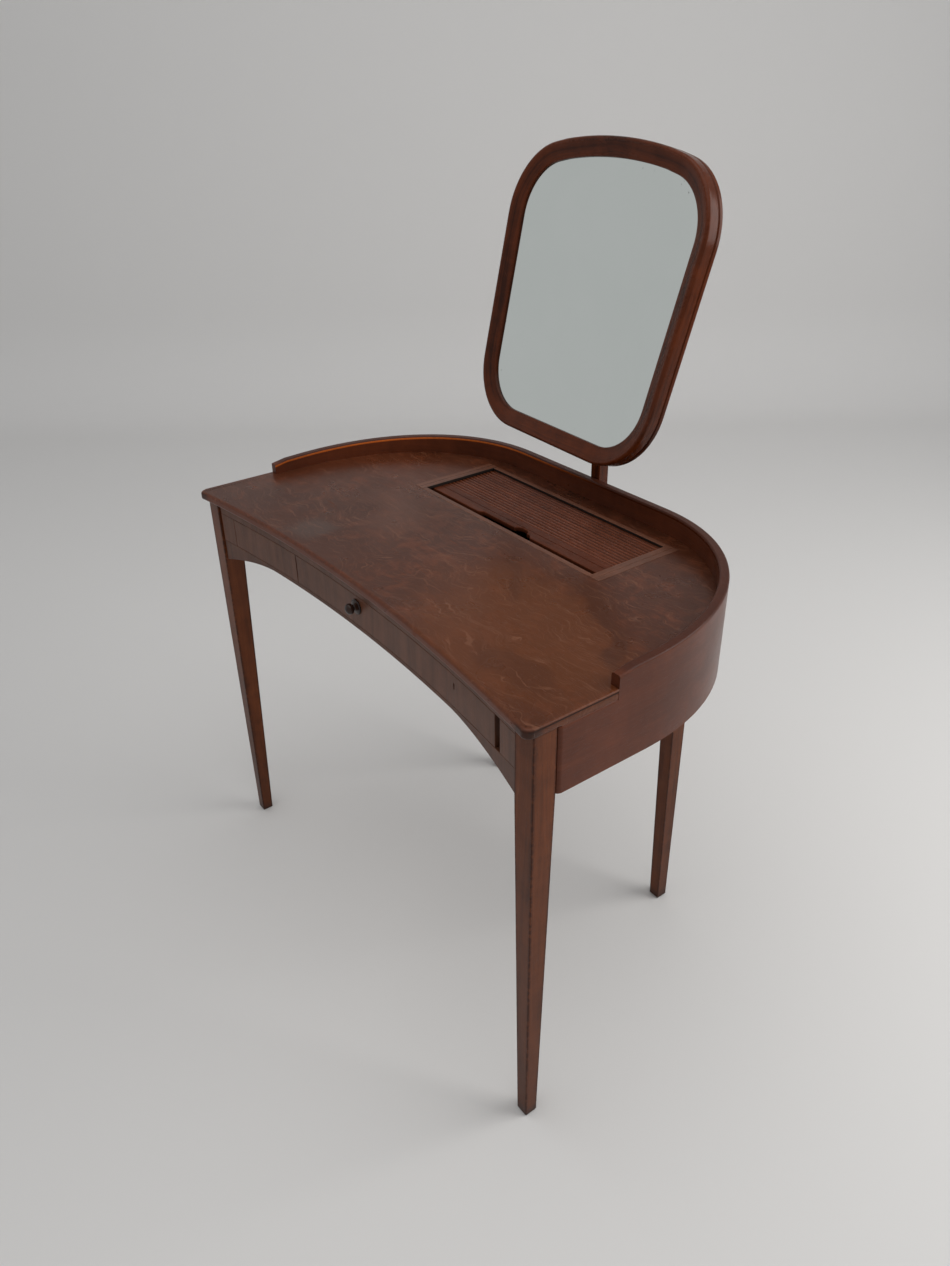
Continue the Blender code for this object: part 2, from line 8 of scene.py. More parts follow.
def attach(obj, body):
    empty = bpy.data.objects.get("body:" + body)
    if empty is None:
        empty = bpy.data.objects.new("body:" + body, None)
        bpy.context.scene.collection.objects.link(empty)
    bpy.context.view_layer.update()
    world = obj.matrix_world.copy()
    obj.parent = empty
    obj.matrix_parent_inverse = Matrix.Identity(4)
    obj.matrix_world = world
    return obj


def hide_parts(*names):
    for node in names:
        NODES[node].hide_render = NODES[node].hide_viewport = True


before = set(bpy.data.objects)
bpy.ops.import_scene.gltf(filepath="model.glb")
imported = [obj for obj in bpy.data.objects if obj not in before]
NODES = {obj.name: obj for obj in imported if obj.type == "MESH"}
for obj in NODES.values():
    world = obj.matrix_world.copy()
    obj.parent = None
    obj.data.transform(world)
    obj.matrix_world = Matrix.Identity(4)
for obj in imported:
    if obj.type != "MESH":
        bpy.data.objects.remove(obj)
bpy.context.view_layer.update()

# ---- sizes ----
# Metres, in table coordinates: x to the right, y from the front corners to the back, z up.
# The sizes of the pieces are the model's; rounding, grooves and wear are only in what is shown.
Y0 = -0.2727                        # y of the front corners in the frame
GAP = 0.0003                        # clearance between pieces that touch

TOP_Z, UNDER_Z = 0.700, 0.686       # faces of the top
TOP_HALF, SAG, CORNER_R = 0.4412, 0.0345, 0.012
EDGE_R = 0.0042                     # rounding of the top's edge
FLUSH, GROOVE_D = 0.0012, 0.0026    # how far the side edges and their groove stand back
GROOVE_Z0, GROOVE_Z1 = TOP_Z - 0.0060, TOP_Z - 0.0045
SIDE_ROUND = 0.6                    # the side edges are less rounded than the front one

# the bent band: straight sides, then a superellipse round the back corners
SKIN_X, SKIN_BACK, SKIN_STRAIGHT, SKIN_T = 0.4400, 0.506, 0.19, 0.014
SKIN_A, SKIN_B, SKIN_N = 0.280, 0.316, 2.1
BAND_Z, GAL_FRONT_Y, GAL_FRONT_Z, GAL_BACK_Z = 0.588, 0.140, 0.7203, 0.7333

APRON_SET, RAIL_T, RAIL_END = 0.012, 0.022, 0.4018
RAIL_LEFT = -RAIL_END + 0.0030
OPEN_TOP, OPEN_BOT, OPEN_L, OPEN_R = 0.6674, 0.6173, -0.3613, 0.3652
APRON_LOW, APRON_FLAT, BRACKET_LOW = 0.6112, 0.245, 0.5795

LEG_OUT, LEG_FRONT, LEG_W, LEG_D = 0.4368, 0.0148, 0.0347, 0.035
FOOT_OUT, FOOT, TAPER_Z = 0.4345, 0.020, 0.585
BLEG_OUT, BLEG_W, BLEG_BACK = 0.2500, 0.030, 0.4965
BLEG_LEFT_BACK = 0.0080             # the left back leg stands this much further back
BLEG_HEAD_Y0, BLEG_HEAD_Y1 = 0.4562, 0.4762

DR_L, DR_R, DR_Z0, DR_Z1, DR_T = -0.3606, 0.3540, 0.6178, 0.6669, 0.018
SPLIT_X, KEY_X, KEY_Z = -0.175, 0.2565, 0.6504
KNOB_Z, KNOB_R = 0.6495, 0.0084

HOLE_X, HOLE_Y0, HOLE_Y1, LIP, TRACK_W = 0.2065, 0.3125, 0.4555, 0.0085, 0.022
POCKET_X, POCKET_D, POCKET_Z = 0.2121, 0.045, 0.6958
INLAY_X = 0.2182                    # middle of the fine line in each side strip
SLAT_X, SLAT_Z0, SLAT_Z1 = 0.2113, 0.6880, 0.6952
LEAD_Y0, LEAD_Y1, PITCH, SLATS = 0.3267, 0.3575, 0.0074, 15
NOTCH_X, NOTCH_HALF, NOTCH_EASE, NOTCH_D = -0.015, 0.068, 0.012, 0.0065
SCOOP_X, SCOOP_R, SCOOP_D = 0.021, 0.015, 0.0085

TILT, SWIVEL = math.radians(15.0), math.radians(-3.45)
GLASS_Y, GLASS_Z, PIVOT_T, PIVOT_Y = 0.448, 0.95, 0.090, 0.5164
GLASS_LOW, GLASS_SIDE, GLASS_TOP = -0.117, 0.2385, 0.265
GLASS_LOW_X, GLASS_LOW_R, GLASS_SIDE_X, GLASS_SIDE_R = 0.1733, 0.074, 0.1932, 0.078
GLASS_TOP_X, GLASS_TOP_R = 0.105, 0.689
FRAME_W, FRAME_FRONT, FRAME_BACK, GLASS_SHIFT = 0.0265, 0.0115, -0.016, 0.0025
POST_HALF, POST_Z0, POST_Z1, SCREW_ZS = 0.010, 0.612, 0.985, (0.632, 0.668)

# camera and room
CAM_YAW, CAM_PITCH, CAM_ROLL = 0.9383, 0.5332, -0.0178
CAM_PLACE = (1.0999, -0.549 + Y0, 1.3329)
CAM_LENS, CAM_SENSOR = 27.857, 36.0
WALL_AWAY, WALL_LEFT, WALL_HIGH, COVE = 4.3, -3.2, 6.0, 0.4
FLOOR_AHEAD, FLOOR_SIDE = 11.0, 7.0


# ---- camera, light and room ----
def make_camera():
    flat = math.cos(CAM_PITCH)
    look = Vector((-math.sin(CAM_YAW) * flat, math.cos(CAM_YAW) * flat, -math.sin(CAM_PITCH)))
    side = Vector((math.cos(CAM_YAW), math.sin(CAM_YAW), 0))
    up = side.cross(look)
    c, s = math.cos(CAM_ROLL), math.sin(CAM_ROLL)
    side, up = side * c + up * s, up * c - side * s
    cam = bpy.data.cameras.new("camera")
    cam.lens, cam.sensor_width = CAM_LENS, CAM_SENSOR
    cam.clip_start, cam.clip_end = 0.02, 60
    obj = bpy.data.objects.new("camera", cam)
    obj.matrix_world = Matrix.Translation(CAM_PLACE) @ Matrix((side, up, -look)).transposed().to_4x4()
    bpy.context.collection.objects.link(obj)
    bpy.context.scene.camera = obj


def make_lamp(name, place, aim, size, power, colour):
    lamp = bpy.data.lights.new(name, "AREA")
    lamp.shape, lamp.size, lamp.size_y = "RECTANGLE", size[0], size[1]
    lamp.energy, lamp.color = power, colour
    obj = bpy.data.objects.new(name, lamp)
    obj.location = place
    obj.rotation_euler = (Vector(aim) - Vector(place)).to_track_quat("-Z", "Y").to_euler()
    bpy.context.collection.objects.link(obj)


def make_room():
    """A pale floor that curves up into a pale wall, far enough off to walk round the table."""
    back = Vector((-math.sin(CAM_YAW), math.cos(CAM_YAW), 0))
    across = Vector((math.cos(CAM_YAW), math.sin(CAM_YAW), 0))
    base = Vector((CAM_PLACE[0], CAM_PLACE[1], 0)) + back * WALL_AWAY
    pts = [(-FLOOR_AHEAD, 0.0), (-COVE, 0.0)]
    for k in range(1, 9):
        a = math.pi / 2 * k / 8
        pts.append((-COVE + COVE * math.sin(a), COVE - COVE * math.cos(a)))
    pts.append((0.0, WALL_HIGH))
    verts = []
    for d, z in pts:
        # the wall stops short on the left, so that the mirror sees the lit side of the room
        for s in (-FLOOR_SIDE if z == 0 else WALL_LEFT, FLOOR_SIDE):
            p = base + back * d + across * s
            verts.append((p.x, p.y, z))
    mesh = bpy.data.meshes.new("room")
    mesh.from_pydata(verts, [], [(2 * k, 2 * k + 1, 2 * k + 3, 2 * k + 2) for k in range(len(pts) - 1)])
    for face in mesh.polygons:
        face.use_smooth = True
    room = bpy.data.objects.new("room", mesh)
    bpy.context.collection.objects.link(room)
    mat = bpy.data.materials.new("room_paint")
    mat.use_nodes = True
    bsdf = mat.node_tree.nodes["Principled BSDF"]
    bsdf.inputs["Base Color"].default_value = (0.74, 0.73, 0.72, 1)
    bsdf.inputs["Roughness"].default_value = 0.75
    mesh.materials.append(mat)


def make_light():
    """Soft light from a window, a ceiling, and pale walls that are brightest across from the window."""
    world = bpy.data.worlds.new("world")
    bpy.context.scene.world = world
    world.use_nodes = True
    tree = world.node_tree
    where = tree.nodes.new("ShaderNodeTexCoord")
    facing = tree.nodes.new("ShaderNodeVectorMath")
    facing.operation = "DOT_PRODUCT"
    facing.inputs[1].default_value = (-0.78, -0.60, 0.15)
    level = tree.nodes.new("ShaderNodeMapRange")
    level.inputs["From Min"].default_value, level.inputs["From Max"].default_value = 0.2, 1.0
    level.inputs["To Min"].default_value, level.inputs["To Max"].default_value = 0.41, 0.52
    tree.links.new(where.outputs["Generated"], facing.inputs[0])
    tree.links.new(facing.outputs["Value"], level.inputs["Value"])
    tree.links.new(level.outputs["Result"], tree.nodes["Background"].inputs["Strength"])
    tree.nodes["Background"].inputs["Color"].default_value = (0.97, 0.985, 1.0, 1)
    make_lamp("window", (1.75, 1.75, 1.7), (0, 0, 0.5), (1.8, 2.0), 36, (1.0, 0.99, 0.97))
    make_lamp("ceiling", (0.4, -0.3, 3.2), (0.2, 0, 0.4), (3.0, 3.0), 28, (1.0, 0.98, 0.96))
    bpy.context.scene.view_settings.view_transform = "Standard"


make_camera()
make_room()
make_light()


# ---- materials ----
class Graph:
    """Short way to write a node material."""

    def __init__(self, name):
        self.mat = bpy.data.materials.new(name)
        self.mat.use_nodes = True
        self.tree = self.mat.node_tree
        self.bsdf = self.tree.nodes["Principled BSDF"]

    def put(self, sock, value):
        if isinstance(value, bpy.types.NodeSocket):
            self.tree.links.new(value, sock)
        else:
            sock.default_value = value

    def node(self, kind, ins=None, **settings):
        made = self.tree.nodes.new("ShaderNode" + kind)
        for key, value in settings.items():
            setattr(made, key, value)
        for key, value in (ins or {}).items():
            self.put(made.inputs[key], value)
        return made

    def math(self, op, a, b=0.5, c=0.5, clamp=False):
        made = self.node("Math", {0: a, 1: b, 2: c}, operation=op, use_clamp=clamp)
        return made.outputs[0]

    def times(self, a, b):
        return self.math("MULTIPLY", a, b)

    def scaled(self, a, by, plus):
        return self.math("MULTIPLY_ADD", a, by, plus)

    def vary(self, tone, by, amount):
        """Moves tone up and down by as much as amount, where by runs from 0 to 1."""
        return self.scaled(by, amount, self.math("SUBTRACT", tone, amount / 2))

    def split(self, vector):
        return self.node("SeparateXYZ", {0: vector}).outputs

    def here(self):
        return self.node("TexCoord").outputs["Object"]

    def stretch(self, vector, scale, move=(0, 0, 0)):
        return self.node("Mapping", {"Vector": vector, "Scale": scale, "Location": move}).outputs[0]

    def noise(self, vector, scale, detail=3.0, rough=0.55, distort=0.0):
        ins = {"Vector": vector, "Scale": scale, "Detail": detail, "Roughness": rough, "Distortion": distort}
        return self.node("TexNoise", ins).outputs["Fac"]

    def step(self, value, low, high):
        """0 at low and 1 at high, smooth between; low may be the larger."""
        ins = {"Value": value, "From Min": low, "From Max": high, "To Min": 0.0, "To Max": 1.0}
        return self.node("MapRange", ins, interpolation_type="SMOOTHSTEP").outputs["Result"]

    def mix(self, fac, a, b):
        made = self.node("Mix", data_type="RGBA")
        self.put(made.inputs[0], fac)
        for index, value in ((6, a), (7, b)):
            self.put(made.inputs[index], value if isinstance(value, bpy.types.NodeSocket) else (*value, 1))
        return made.outputs[2]

    def tint(self, colour, mask, strength, tone):
        return self.mix(self.times(mask, strength), colour, tone)

    def ramp(self, fac, stops):
        made = self.node("ValToRGB", {"Fac": fac})
        band = made.color_ramp
        while len(band.elements) < len(stops):
            band.elements.new(0.5)
        for element, (at, colour) in zip(band.elements, stops):
            element.position = at
            element.color = (*colour, 1)
        return made.outputs["Color"]

    def attribute(self, name):
        made = self.node("Attribute")
        made.attribute_name = name
        return made.outputs

    def blob(self, place, centre, size, turn=0.0):
        """1 inside an ellipse on the top, fading to 0 at its edge; centre and size are x and y."""
        ins = {"Vector": place, "Location": (centre[0], Y0 + centre[1], TOP_Z), "Rotation": (0, 0, turn),
               "Scale": (*size, 0.5)}
        made = self.node("Mapping", ins, vector_type="TEXTURE")
        away = self.node("VectorMath", {0: made.outputs[0]}, operation="LENGTH").outputs["Value"]
        return self.step(away, 1.0, 0.45)

    def bump(self, height, strength, distance=0.0004):
        made = self.node("Bump", {"Height": height, "Strength": strength, "Distance": distance})
        self.put(self.bsdf.inputs["Normal"], made.outputs[0])


def shade(colour, factor):
    return tuple(c * factor for c in colour)


# How the layers of a wood are stretched: once along the grain, and twice across it.
WARP, STREAK, FIBRE = (2.2, 9.0, 9.0), (2.6, 75.0, 75.0), (22.0, 900.0, 900.0)
CROSS, PORE, SCRATCH = (38.0, 7.0, 7.0), (38.0, 1500.0, 1500.0), (14.0, 700.0, 14.0)


def grain_field(g, place, axis):
    """Where a point lies along and across the grain, and how worn it is."""
    if not axis:
        return g.attribute("grain")["Vector"], g.attribute("wear")["Fac"]
    split = g.split(place)
    order = {"x": (0, 1, 2), "y": (1, 0, 2), "z": (2, 0, 1)}[axis]
    return g.node("CombineXYZ", {k: split[o] for k, o in enumerate(order)}).outputs[0], 0.0


def wood(name, dark, mid, light, rough=0.42, figure=1.0, pores=1.0, coat=0.0, extra=None, axis=None,
         mottle=0.35, cloudy=0.35, used=0.4, rub=None, gloss=0.30):
    """Polished hardwood: streaked figure, fibres, open pores, worn edges and faint scratches.

    mottle and cloudy are how far broad and small patches vary, used is how worn the edges are,
    rub is the colour they wear to, and extra adds the marks of one piece. A node of the model
    has no grain of its own, so it takes the axis that its grain follows.
    """
    g = Graph(name)
    place = g.here()
    grain, wear = grain_field(g, place, axis)
    # figure
    warp = g.noise(g.stretch(grain, WARP), 1.0, 2.0)
    sway = g.node("CombineXYZ", {"Y": g.times(warp, 0.05 * figure)}).outputs[0]
    bent = g.node("VectorMath", {0: grain, 1: sway}, operation="ADD").outputs[0]
    streak = g.noise(g.stretch(bent, STREAK), 1.0, 4.0, 0.62, 0.6)
    fibre = g.noise(g.stretch(bent, FIBRE), 1.0, 3.0, 0.6)
    cross = g.noise(g.stretch(grain, CROSS), 1.0, 2.0, 0.5, 0.4)
    tone = g.scaled(streak, 0.85 * figure, 0.075)
    tone = g.vary(tone, cross, 0.22)
    tone = g.vary(tone, g.noise(place, 7.0, 3.0, 0.6, 0.3), mottle)
    tone = g.vary(tone, g.noise(place, 34.0, 4.0, 0.6, 0.9), cloudy)
    tone = g.vary(tone, fibre, 0.30)
    colour = g.ramp(tone, [(0.22, dark), (0.50, mid), (0.80, light)])
    pore = g.step(g.noise(g.stretch(bent, PORE, (3, 7, 1)), 1.0, 2.0, 0.5), 0.635, 0.72)
    colour = g.tint(colour, pore, 0.55 * pores, shade(dark, 0.35))
    haze = g.step(g.noise(place, 2.3, 4.0, 0.62, 0.8), 0.45, 0.72)
    colour = g.tint(colour, haze, 0.22, shade(light, 1.15))
    # wear
    nick = g.step(g.noise(place, 160.0, 2.0, 0.6), 0.41, 0.52)
    worn = g.times(wear, g.scaled(nick, 0.5, 0.25))
    colour = g.tint(colour, worn, used, rub or shade(light, 1.3))
    lines = g.node("Mapping", {"Vector": place, "Rotation": (0.3, 0.2, 0.9), "Scale": SCRATCH}).outputs[0]
    scratch = g.step(g.noise(lines, 1.0, 1.0, 0.5), 0.70, 0.76)
    scratch = g.times(scratch, g.step(g.noise(place, 5.0, 2.0), 0.45, 0.6))
    colour = g.tint(colour, scratch, 0.35, shade(light, 1.5))
    if extra:
        colour = extra(g, colour, place)
    g.put(g.bsdf.inputs["Base Color"], colour)
    # polish
    dull = g.scaled(g.noise(place, 11.0, 3.0, 0.6), 0.22, rough - 0.11)
    dull = g.math("MULTIPLY_ADD", worn, 0.15, g.scaled(scratch, 0.2, dull), clamp=True)
    g.put(g.bsdf.inputs["Roughness"], dull)
    g.bsdf.inputs["Specular IOR Level"].default_value = gloss
    g.bsdf.inputs["Coat Weight"].default_value = coat
    g.bsdf.inputs["Coat Roughness"].default_value = 0.22
    height = g.scaled(pore, -0.8, g.scaled(fibre, 0.35, g.times(streak, 0.25)))
    g.bump(g.scaled(scratch, -0.2, height), 0.35)
    return g.mat


def metal(name, colour, tarnish, rough):
    """Cast or turned metal with spots of tarnish and a fine tooth."""
    g = Graph(name)
    place = g.here()
    spots = g.step(g.noise(place, 60.0, 4.0, 0.65), 0.42, 0.66)
    fine = g.noise(place, 900.0, 2.0, 0.5)
    g.put(g.bsdf.inputs["Base Color"], g.tint(colour, spots, 0.75, tarnish))
    g.put(g.bsdf.inputs["Roughness"], g.scaled(spots, 0.22, g.scaled(fine, 0.08, rough)))
    g.bsdf.inputs["Metallic"].default_value = 1.0
    g.bump(fine, 0.15, 0.0002)
    return g.mat


def mirror_glass(name):
    """Silvered glass with a faint haze and a few age specks near the edge."""
    g = Graph(name)
    place = g.here()
    haze = g.noise(place, 6.0, 4.0, 0.6, 0.4)
    speck = g.step(g.noise(place, 210.0, 2.0, 0.5), 0.73, 0.78)
    edge = g.attribute("wear")["Fac"]
    spots = g.math("MULTIPLY", speck, g.scaled(edge, 0.9, 0.05), clamp=True)
    colour = g.mix(haze, (0.70, 0.735, 0.70), (0.76, 0.785, 0.755))
    g.put(g.bsdf.inputs["Base Color"], g.mix(spots, colour, (0.16, 0.15, 0.13)))
    g.put(g.bsdf.inputs["Roughness"], g.scaled(haze, 0.05, 0.035))
    g.bsdf.inputs["Metallic"].default_value = 1.0
    return g.mat


def cloth(name):
    """Plain woven canvas."""
    g = Graph(name)
    threads = {"Vector": g.here(), "Scale": 420.0, "Distortion": 1.0}
    warp, weft = (g.node("TexWave", threads, bands_direction=way).outputs["Fac"] for way in "XY")
    weave = g.math("MAXIMUM", warp, weft)
    g.put(g.bsdf.inputs["Base Color"], g.mix(weave, (0.09, 0.075, 0.055), (0.24, 0.21, 0.16)))
    g.bsdf.inputs["Roughness"].default_value = 0.9
    g.bump(weave, 0.5)
    return g.mat


# Dark drifts in the polish of the top: centre, half sizes, turn and strength.
DRIFTS = (((0.27, 0.262), (0.13, 0.022), -0.30, 0.75), ((0.375, 0.205), (0.075, 0.020), -1.15, 0.75),
          ((0.12, 0.225), (0.10, 0.018), -0.50, 0.45), ((0.33, 0.07), (0.10, 0.025), -0.20, 0.40),
          ((-0.36, 0.25), (0.07, 0.05), -0.90, 0.45))


def top_stains(g, colour, place):
    """The top has a warm orange area, darker drifts, a small grey water mark, a painted glare on the left and
    pale rubs.
    """
    cloud = g.node("TexNoise", {"Vector": place, "Scale": 7.0, "Detail": 4.0}).outputs["Color"]
    ripple = g.node("VectorMath", {0: cloud, 1: (0.5, 0.5, 0.5)}, operation="SUBTRACT").outputs[0]
    ripple = g.node("VectorMath", {0: ripple, "Scale": 0.16}, operation="SCALE").outputs[0]
    here = g.node("VectorMath", {0: place, 1: ripple}, operation="ADD").outputs[0]
    colour = g.tint(colour, g.blob(here, (0.27, 0.13), (0.25, 0.17), -0.35), 0.60, (0.132, 0.034, 0.005))
    for centre, size, turn, strength in DRIFTS:
        colour = g.tint(colour, g.blob(here, centre, size, turn), strength, (0.062, 0.016, 0.005))
    colour = g.tint(colour, g.blob(here, (-0.19, 0.095), (0.055, 0.042), 0.3), 0.55, (0.085, 0.055, 0.045))
    # a pale brownish patch on the left is a painted reflection: the glare on the polish
    colour = g.tint(colour, g.blob(here, (-0.14, 0.21), (0.13, 0.07), -0.5), 0.30, (0.165, 0.070, 0.045))
    # short rubs that run three ways
    for turn, start in ((0.5, 0.0), (-0.35, 3.0), (1.15, 7.0)):
        ins = {"Vector": here, "Location": (start, 0, 0), "Rotation": (0, 0, turn)}
        ins["Scale"] = (14.0, 380.0, 1.0)
        rub = g.step(g.noise(g.node("Mapping", ins).outputs[0], 1.0, 2.0, 0.6, 0.5), 0.60, 0.72)
        colour = g.tint(colour, rub, 0.38, (0.235, 0.096, 0.052))
    return edge_marks(g, colour, place)


def edge_marks(g, colour, place):
    """Painted shade in the groove along the side edges of the top, a redder front edge, and dirt on its
    corners.
    """
    xyz = g.split(place)
    side = g.math("ABSOLUTE", xyz["X"])
    flank = g.step(side, TOP_HALF - 0.0036, TOP_HALF - GROOVE_D)
    low = g.step(xyz["Z"], TOP_Z - 0.0062, TOP_Z - 0.0052)
    groove = g.times(low, g.step(xyz["Z"], TOP_Z - 0.0022, TOP_Z - 0.0026))
    # the groove's face is painted almost black: painted shade inside the groove
    colour = g.tint(colour, g.times(groove, flank), 0.9, (0.008, 0.003, 0.002))
    edge = g.times(g.step(xyz["Z"], TOP_Z - 0.0015, TOP_Z - 0.0045), g.math("SUBTRACT", 1.0, flank))
    colour = g.tint(colour, edge, 0.6, (0.135, 0.028, 0.007))
    jagged = g.scaled(g.noise(place, 130.0, 3.0, 0.6), 0.012, side)
    corner = g.times(g.step(jagged, 0.412, 0.430), g.step(xyz["Y"], Y0 + 0.030, Y0 + 0.018))
    corner = g.times(corner, g.step(xyz["Z"], TOP_Z + 0.0004, TOP_Z - 0.0030))
    return g.tint(colour, corner, 0.85, (0.030, 0.008, 0.003))


def foot_dirt(g, colour, place):
    """Legs darken towards the floor, and their tips are scuffed."""
    z = g.scaled(g.noise(place, 90.0, 3.0, 0.6), 0.022, g.split(place)["Z"])
    colour = g.tint(colour, g.step(z, 0.46, 0.05), 0.35, (0.040, 0.011, 0.004))
    return g.tint(colour, g.step(z, 0.034, 0.012), 0.8, (0.030, 0.014, 0.010))


def band_ends(g, colour, place):
    """End grain and the flat top of the gallery are darker than its sides."""
    xyz = g.split(place)
    rise = (GAL_BACK_Z - GAL_FRONT_Z) / (SKIN_BACK - GAL_FRONT_Y)
    line = g.scaled(xyz["Y"], rise, GAL_FRONT_Z - rise * (GAL_FRONT_Y + Y0))
    above = g.math("SUBTRACT", xyz["Z"], line)
    colour = g.tint(colour, g.step(above, -0.0035, -0.0010), 0.6, (0.030, 0.009, 0.006))
    front = GAL_FRONT_Y + Y0
    end = g.step(xyz["Y"], front + 0.0012, front + 0.0002)
    end = g.times(end, g.step(xyz["Z"], TOP_Z - 0.001, TOP_Z + 0.001))
    return g.tint(colour, end, 0.3, (0.018, 0.006, 0.004))


def band_shade(g, colour, place):
    """Inside of the gallery: painted shade along the back and right, and darker in the corner with the top.
    """
    xyz = g.split(place)
    # painted shade: the faces towards the back and right, away from the window, go almost black
    colour = g.tint(colour, g.step(xyz["X"], -0.24, 0.06), 0.92, (0.018, 0.0020, 0.0005))
    # darker low down, in the corner with the top
    low = g.scaled(g.noise(place, 70.0, 3.0), 0.004, xyz["Z"])
    return g.tint(colour, g.step(low, TOP_Z + 0.008, TOP_Z + 0.001), 0.55, (0.022, 0.008, 0.005))


def apron_edge(g, colour, place):
    """A darker band along the lower edge."""
    z = g.scaled(g.noise(place, 40.0, 3.0), 0.004, g.split(place)["Z"])
    return g.tint(colour, g.step(z, 0.6260, 0.6120), 0.30, (0.042, 0.015, 0.009))


def reed_dirt_and_shade(g, colour, place):
    """Dark polish, dust and painted shade down in the grooves between the reeds."""
    # near-black low between the reeds: dust and painted shade
    deep = g.step(g.split(place)["Z"], SLAT_Z1 - 0.0010, SLAT_Z1 - 0.0034)
    return g.tint(colour, deep, 0.85, (0.016, 0.006, 0.004))


def tones(mid, low=0.55, high=1.5):
    return shade(mid, low), mid, shade(mid, high)


PALE = ((0.20, 0.115, 0.060), (0.33, 0.205, 0.115), (0.45, 0.30, 0.18))
EBONY = ((0.006, 0.003, 0.002), (0.020, 0.008, 0.005), (0.060, 0.025, 0.014))
MAT = {
    "top": wood("top_mahogany", *tones((0.128, 0.034, 0.013), 0.50, 1.6), rough=0.30, figure=0.35, pores=0.3,
                extra=top_stains, mottle=0.40, cloudy=0.95, used=0.3, gloss=0.26),
    "band": wood("band_mahogany", *tones((0.124, 0.030, 0.011), 0.6, 1.45), rough=0.32, figure=0.6, pores=0.8,
                 extra=band_ends, used=0.2, gloss=0.22),
    # band_in is the band's wood made much brighter for the inner faces of the gallery: painted light where
    # they face the window, with painted shade from band_shade on the rest
    "band_in": wood("band_inner_lit_and_shaded_mahogany", *tones((0.420, 0.095, 0.017), 0.40), rough=0.22, figure=1.2,
                    pores=0.2, extra=band_shade, mottle=0.2, cloudy=0.15, gloss=0.07),
    "leg": wood("leg_mahogany", *tones((0.100, 0.026, 0.007), 0.40, 1.6), rough=0.36, figure=1.2, pores=1.2,
                extra=foot_dirt, used=1.0, rub=(0.030, 0.009, 0.005), gloss=0.18),
    "apron": wood("apron_veneer", *tones((0.112, 0.042, 0.022)), rough=0.36, pores=0.9, extra=apron_edge,
                  used=0.1, gloss=0.28),
    "tambour": wood("tambour_mahogany", *tones((0.135, 0.036, 0.015)), rough=0.24, figure=0.8, pores=0.7,
                    extra=reed_dirt_and_shade, used=0.8, gloss=0.24),
    "lead": wood("lead_mahogany", *tones((0.100, 0.024, 0.009)), rough=0.40, figure=0.8, pores=0.7,
                 used=0.5, gloss=0.14),
    "lipping": wood("lipping_mahogany", *tones((0.165, 0.062, 0.034)), rough=0.34, figure=0.7, pores=0.6),
    "frame": wood("frame_mahogany", *tones((0.044, 0.009, 0.002), 0.35, 2.4), rough=0.24, figure=1.3,
                  pores=0.8, used=0.35, gloss=0.17),
    # well: near-black wood, painted shade for the inside of the well and the walls round the opening, which
    # lie in shade
    "well": wood("well_painted_shade_wood", *tones((0.016, 0.007, 0.004)), rough=0.60, figure=0.8, pores=0.7, axis="x"),
    "inner": wood("inner_wood", *PALE, rough=0.62, figure=0.8, pores=0.7),
    "knob": wood("knob_ebonised", *EBONY, rough=0.26, pores=0.6, coat=0.1),
    "brass": metal("aged_brass", (0.52, 0.36, 0.14), (0.17, 0.10, 0.04), 0.28),
    "steel": metal("dull_steel", (0.36, 0.35, 0.34), (0.12, 0.08, 0.06), 0.35),
    "glass": mirror_glass("silvered_glass"),
    "cloth": cloth("tambour_canvas"),
}
for way in "xyz":
    MAT["inner_" + way] = wood("inner_wood_" + way, *PALE, rough=0.62, figure=0.8, pores=0.7, axis=way)


# ---- mesh helpers ----
def loft(rings, closed=False):
    """Solid through rings of equal length; the end rings become caps unless the path closes."""
    bm = bmesh.new()
    rows = [[bm.verts.new(p) for p in ring] for ring in rings]
    count = len(rows[0])
    for i in range(len(rows) if closed else len(rows) - 1):
        a, b = rows[i], rows[(i + 1) % len(rows)]
        for j in range(count):
            k = (j + 1) % count
            bm.faces.new((a[j], a[k], b[k], b[j]))
    if not closed:
        bm.faces.new(rows[0][::-1])
        bm.faces.new(rows[-1])
    bmesh.ops.recalc_face_normals(bm, faces=bm.faces)
    return bm


def prism(outline, z0, z1):
    return loft([[(x, y, z0) for x, y in outline], [(x, y, z1) for x, y in outline]])


def box(x0, x1, y0, y1, z0, z1):
    return prism([(x0, y0), (x1, y0), (x1, y1), (x0, y1)], z0, z1)


def soften(bm, width, rim=0.003, segments=3, least=0.0):
    """Rounds every sharp edge, and marks the rounding as worn while the flats stay clean."""
    wear = bm.verts.layers.float.new("wear")
    bm.normal_update()
    sharp = [e for e in bm.edges if len(e.link_faces) == 2 and e.calc_face_angle(0) > 0.5]
    made = bmesh.ops.bevel(bm, geom=sharp, offset=width, segments=segments, profile=0.5, affect="EDGES",
                           clamp_overlap=True)
    rounding = set(made["faces"])
    flats = [f for f in bm.faces if f not in rounding and f.calc_area() > least]
    if rim:
        bmesh.ops.inset_region(bm, faces=flats, thickness=rim, use_even_offset=True, use_boundary=True)
    for v in bm.verts:
        v[wear] = 0.0
    for f in rounding:
        for v in f.verts:
            v[wear] = 1.0
    return bm


def mark_wear(bm, worn=lambda i: 0.0):
    """Stores how worn each point is; worn goes from the number of a point to a value from 0 to 1."""
    wear = bm.verts.layers.float.new("wear")
    bm.verts.ensure_lookup_table()
    for i, v in enumerate(bm.verts):
        v[wear] = worn(i)


def grain_x(p):
    return (p.x, p.y, p.z)


def grain_y(p):
    return (p.y, p.x, p.z)


def grain_z(p):
    return (p.z, p.x, p.y)


